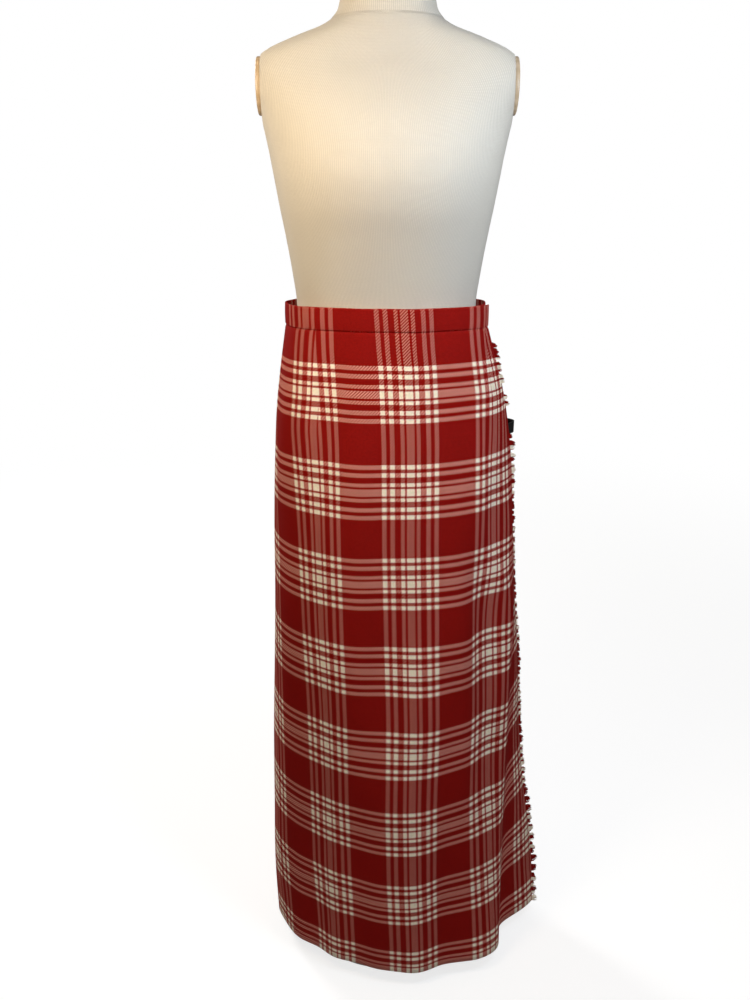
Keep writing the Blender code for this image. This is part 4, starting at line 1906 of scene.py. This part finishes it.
@dataclass
class DressForm:
    """The limbless torso in its jersey cover, with its cap, arm plates, pole and base."""

    columns: int = 144
    rows: int = 200
    squareness: float = 2.05
    arm_plane: float = 157 * MM
    plate_height: float = 1305 * MM
    plate_half: tuple[float, float] = (28 * MM, 34 * MM)
    plate_thick: float = 6 * MM
    clear: float = 0.3 * MM
    cap_rise: float = 12 * MM
    neck_seam: float = 1.378
    seam_half: float = 1.2 * MM
    bust_round: float = 0.875
    neck_round: float = 0.346
    pole_radius: float = 12.5 * MM
    flange: tuple[float, float] = (34 * MM, 9 * MM)
    base_radius: float = 138 * MM
    base_thick: float = 12 * MM

    def ring(self, height: float) -> Array:
        """Works out the torso's outline at one height.

        Args:
            height: The height.

        Returns:
            Its places all the way round, from the back.
        """
        table = np.array([astuple(level) for level in FORM_LEVELS]) * MM
        half_width, front, back = (float(hermite(table[:, 0], table[:, k], height)) for k in (1, 2, 3))
        turns = np.linspace(-180.0, 180.0, self.columns + 1)
        ahead = np.cos(np.radians(turns)) > 0
        radius = np.where(
            ahead,
            Section.oval(turns, half_width, front, self.squareness),
            Section.oval(turns, half_width, back, self.squareness),
        )
        radius = radius + self.neck_folds(turns, height)
        x, y = Section.flat(turns, radius)
        return np.stack([x, y, np.full_like(x, height)], axis=-1)

    def neck_folds(self, turns: Array, height: float) -> Array:
        """Works out the slack folds of the cover round the neck, and its seam.

        Args:
            turns: Turns in degrees.
            height: The height.

        Returns:
            How far the cover lies outside the torso at each turn.
        """
        share = ease((height - 1.360) / 0.03) * ease((1.440 - height) / 0.006)
        slant = turns + 260.0 * (height - 1.40)
        folds = 0.55 * np.exp(-(((slant + 28) / 9.0) ** 2)) - 0.5 * np.exp(-(((slant - 14) / 12.0) ** 2))
        folds = folds + 0.5 * np.exp(-(((slant - 46) / 8.0) ** 2)) + 0.3 * np.sin(np.radians(slant * 5))
        seam = -0.7 * math.exp(-(((height - self.neck_seam) / self.seam_half) ** 2))
        return (folds * share * 1.1 + seam) * MM

    def torso(self, jersey: bpy.types.Material) -> bpy.types.Object:
        """Builds the torso, cut flat at each armhole.

        Args:
            jersey: Its cover's material.

        Returns:
            The torso.
        """
        low, high = FORM_LEVELS[0].height * MM, FORM_LEVELS[-1].height * MM
        seam = (self.neck_seam - self.seam_half, self.neck_seam)
        heights = np.sort(np.append(np.linspace(low, high, self.rows), seam))
        places, cut = [], []
        turns = np.linspace(-0.5, 0.5, self.columns + 1)
        for height in heights:
            places.append(self.ring(height))
            round_here = self.neck_round if height > self.neck_seam else self.bust_round
            cut.append(cut_row(turns * round_here, height))
        shape = reopened(drape("form_torso_cover", np.array(places), np.array(cut)))
        bmesh.ops.remove_doubles(shape, verts=shape.verts, dist=1e-6)
        bmesh.ops.holes_fill(shape, edges=[edge for edge in shape.edges if edge.is_boundary])
        for side in (-1, 1):
            cut_out = bmesh.ops.bisect_plane(
                shape,
                geom=shape.verts[:] + shape.edges[:] + shape.faces[:],
                dist=1e-6,
                plane_co=(side * self.arm_plane, 0, 0),
                plane_no=(side, 0, 0),
                clear_outer=True,
            )
            rim = [item for item in cut_out["geom_cut"] if isinstance(item, bmesh.types.BMEdge)]
            bmesh.ops.holes_fill(shape, edges=rim)
        bmesh.ops.recalc_face_normals(shape, faces=shape.faces)
        name = "form_torso_cover"
        return link(name, mesh_from(shape, name), jersey, "form_body")

    def cap(self, wood: bpy.types.Material) -> bpy.types.Object:
        """Builds the low turned cap on the neck.

        Args:
            wood: Its material.

        Returns:
            The cap.
        """
        top = FORM_LEVELS[-1]
        half = top.half_width * MM
        shape = [
            (0.0, 1.0),
            (0.25, 0.985),
            (0.45, 0.92),
            (0.65, 0.81),
            (0.80, 0.68),
            (0.91, 0.52),
            (0.97, 0.36),
            (0.995, 0.22),
            (1.0, 0.12),
            (0.985, 0.0),
            (0.0, 0.0),
        ]
        profile = [(share * half, rise * self.cap_rise) for share, rise in shape]
        mesh = spun("form_cap_turned", profile, 96)
        mesh.transform(Matrix.Diagonal((1.0, (top.front + top.back) * MM / (2 * half), 1.0, 1.0)))
        mesh.transform(
            Matrix.Translation((0, (top.back - top.front) * MM / 2, top.height * MM + self.clear))
        )
        return link("form_cap_turned", mesh, wood, "form_neck_cap")

    def arm_plate(self, side: int, node: str, wood: bpy.types.Material) -> bpy.types.Object:
        """Makes the oval plate over one armhole.

        Args:
            side: -1 for the left and 1 for the right.
            node: The solid that it stands for.
            wood: Its material.

        Returns:
            The plate.
        """
        shape = bmesh.new()
        bmesh.ops.create_cone(
            shape, cap_ends=True, segments=72, radius1=1.0, radius2=1.0, depth=self.plate_thick
        )
        bmesh.ops.scale(shape, vec=(self.plate_half[1], self.plate_half[0], 1.0), verts=shape.verts)
        rims = [edge for edge in shape.edges if len({round(v.co.z, 6) for v in edge.verts}) == 1]
        bmesh.ops.bevel(
            shape,
            geom=rims,
            offset=1.8 * MM,
            segments=4,
            profile=0.5,
            affect="EDGES",
            material=-1,
        )
        caps = [face for face in shape.faces if len(face.verts) > 20]
        bmesh.ops.inset_region(shape, faces=caps, thickness=6 * MM, depth=0.0)
        bmesh.ops.rotate(shape, matrix=Matrix.Rotation(math.radians(90), 3, "Y"), verts=shape.verts)
        across = side * (self.arm_plane + self.clear + self.plate_thick / 2)
        bmesh.ops.translate(shape, vec=(across, 0, self.plate_height), verts=shape.verts)
        return link(node + "_oval", mesh_from(shape, node + "_oval"), wood, node)

    def stand(self, enamel: bpy.types.Material) -> list[bpy.types.Object]:
        """Builds the pole and the round base.

        Args:
            enamel: Their material.

        Returns:
            The pole and the base.
        """
        top = FORM_LEVELS[0].height * MM - self.clear
        wide, thick = self.flange
        foot = self.base_thick + self.clear
        pole = softened(
            [
                (0.0, top),
                (wide, top),
                (wide, top - thick),
                (self.pole_radius, top - 2 * thick),
                (self.pole_radius, foot + 2 * thick),
                (0.9 * wide, foot + 0.6 * thick),
                (0.9 * wide, foot),
                (0.0, foot),
            ],
            2 * MM,
        )
        base = softened(
            [
                (0.0, self.base_thick),
                (self.base_radius - 7 * MM, self.base_thick),
                (self.base_radius - 1.5 * MM, 0.7 * self.base_thick),
                (self.base_radius, 0.3 * self.base_thick),
                (self.base_radius - 1 * MM, 0.0),
                (0.0, 0.0),
            ],
            2 * MM,
        )
        return [
            link(name, spun(name, profile, steps), enamel, node)
            for name, node, profile, steps in (
                ("form_pole_turned", "form_pole", pole, 64),
                ("form_base_turned", "form_base", base, 128),
            )
        ]

    def build(
        self, jersey: bpy.types.Material, wood: bpy.types.Material, enamel: bpy.types.Material
    ) -> list[bpy.types.Object]:
        """Builds the whole form.

        Args:
            jersey: The cover's material.
            wood: The cap's and plates' material.
            enamel: The stand's material.

        Returns:
            Its pieces.
        """
        return [
            self.torso(jersey),
            self.cap(wood),
            self.arm_plate(-1, "form_arm_plate_left", wood),
            self.arm_plate(1, "form_arm_plate_right", wood),
            *self.stand(enamel),
        ]


# The studio


@dataclass(frozen=True)
class SoftBox:
    """One soft light: where it stands, where it points, its size, power and colour."""

    name: str
    place: tuple[float, float, float]
    target: tuple[float, float, float]
    size: float
    watts: float
    colour: tuple[float, float, float]


@dataclass
class Studio:
    """The camera at the photograph's viewing angle, the soft lights and the pale floor."""

    camera_place: tuple[float, float, float] = (-0.0155, -1.185, 1.164)
    camera_pitch: float = 19.16
    focal_pixels: float = 850.0
    tall_pixels: float = 1000.0
    sensor: float = 36.0
    floor_radius: float = 9.0
    ambient: float = 0.200
    backdrop: float = 1.0
    lights: tuple[SoftBox, ...] = (
        SoftBox("warm_left", (-0.38, -0.48, 1.37), (-0.03, -0.05, 1.04), 0.28, 3.5, (1.0, 0.84, 0.60)),
        SoftBox("cool_right", (0.42, -0.48, 1.37), (0.03, -0.05, 1.04), 0.28, 3.6, (0.74, 0.86, 1.0)),
        SoftBox("right_fill", (1.3, -1.1, 0.9), (0.15, -0.1, 0.6), 0.8, 2.0, (0.76, 0.84, 1.0)),
        SoftBox("high_fill", (0.0, -2.6, 2.6), (0.0, 0.0, 0.7), 1.6, 5.5, (1.0, 0.99, 0.97)),
        SoftBox("back_fill", (-2.1, 2.3, 2.2), (0.0, 0.0, 0.7), 0.9, 48.0, (1.0, 0.99, 0.98)),
    )

    def camera(self) -> None:
        """Sets the camera."""
        data = bpy.data.cameras.new("camera")
        data.sensor_width = self.sensor
        data.lens = self.focal_pixels * self.sensor / self.tall_pixels
        data.clip_start = 0.02
        holder = bpy.data.objects.new("camera", data)
        holder.location = self.camera_place
        holder.rotation_euler = (math.radians(90 - self.camera_pitch), 0.0, 0.0)
        bpy.context.scene.collection.objects.link(holder)
        bpy.context.scene.camera = holder

    def light(self, box: SoftBox) -> None:
        """Sets one soft light.

        Args:
            box: The light.
        """
        data = bpy.data.lights.new(box.name, "AREA")
        data.shape = "DISK"
        data.size = box.size
        data.energy = box.watts
        data.color = box.colour
        holder = bpy.data.objects.new(box.name, data)
        holder.location = box.place
        aim = Vector(box.target) - Vector(box.place)
        holder.rotation_euler = aim.to_track_quat("-Z", "Y").to_euler()
        holder.visible_camera = False
        bpy.context.scene.collection.objects.link(holder)

    def world(self) -> None:
        """Sets a soft ambient light and a near white background."""
        world = bpy.data.worlds.new("studio")
        world.use_nodes = True
        tree = world.node_tree
        tree.nodes.clear()
        seen = tree.nodes.new("ShaderNodeBackground")
        seen.inputs[0].default_value = (1.0, 1.0, 1.0, 1.0)
        seen.inputs[1].default_value = self.backdrop
        soft = tree.nodes.new("ShaderNodeBackground")
        soft.inputs[0].default_value = (1.0, 0.985, 0.965, 1.0)
        soft.inputs[1].default_value = self.ambient
        rays = tree.nodes.new("ShaderNodeLightPath")
        mix = tree.nodes.new("ShaderNodeMixShader")
        out = tree.nodes.new("ShaderNodeOutputWorld")
        tree.links.new(rays.outputs["Is Camera Ray"], mix.inputs[0])
        tree.links.new(soft.outputs[0], mix.inputs[1])
        tree.links.new(seen.outputs[0], mix.inputs[2])
        tree.links.new(mix.outputs[0], out.inputs[0])
        bpy.context.scene.world = world

    def build(self) -> None:
        """Sets the floor, the lights and the camera."""
        shape = bmesh.new()
        bmesh.ops.create_circle(shape, cap_ends=True, segments=96, radius=self.floor_radius)
        mesh = mesh_from(shape, "studio_floor", smooth=False)
        mesh.materials.append(PaleFloor().material())
        floor = bpy.data.objects.new("studio_floor", mesh)
        bpy.context.scene.collection.objects.link(floor)
        for box in self.lights:
            self.light(box)
        self.world()
        self.camera()
        bpy.context.scene.view_settings.view_transform = "Standard"


@dataclass(frozen=True)
class FlatCut:
    """The cut of a sheet before it was hung: width, length and area in metres."""

    width: float
    length: float
    area: float
    held: Held


def report(*pieces: bpy.types.Object) -> None:
    """Logs each piece's name and face count."""
    for piece in pieces:
        LOG.info("%s: %d faces", piece.name, len(piece.data.polygons))


def main() -> None:
    """Builds and dresses every piece, then sets the studio."""
    logging.basicConfig(level=logging.INFO, format="%(name)s: %(message)s")
    outline, grain = Outline(), Grain()
    woven = PlaidCloth("plaid_twill").material()
    loose = PlaidCloth("plaid_yarns", PlaidUse.LOOSE_WEFT).material()
    apron = OverApron(outline, grain).build(woven)
    pleats = PleatedBack(outline, grain).build(woven)
    under = UnderApron(outline, grain).build(woven)
    band = Waistband(outline, grain).build(woven)
    fringe = ApronFringe(outline).build(loose)
    report(apron, pleats, under, band, fringe)
    thread = SewingThread("black_thread", (0.02, 0.018, 0.017)).material()
    report(*HipFastening(outline).build(Leather().material(), Steel().material(), thread))
    report(*DressForm().build(RibJersey().material(), Wood().material(), Enamel().material()))
    Studio().build()


if __name__ == "__main__":
    main()
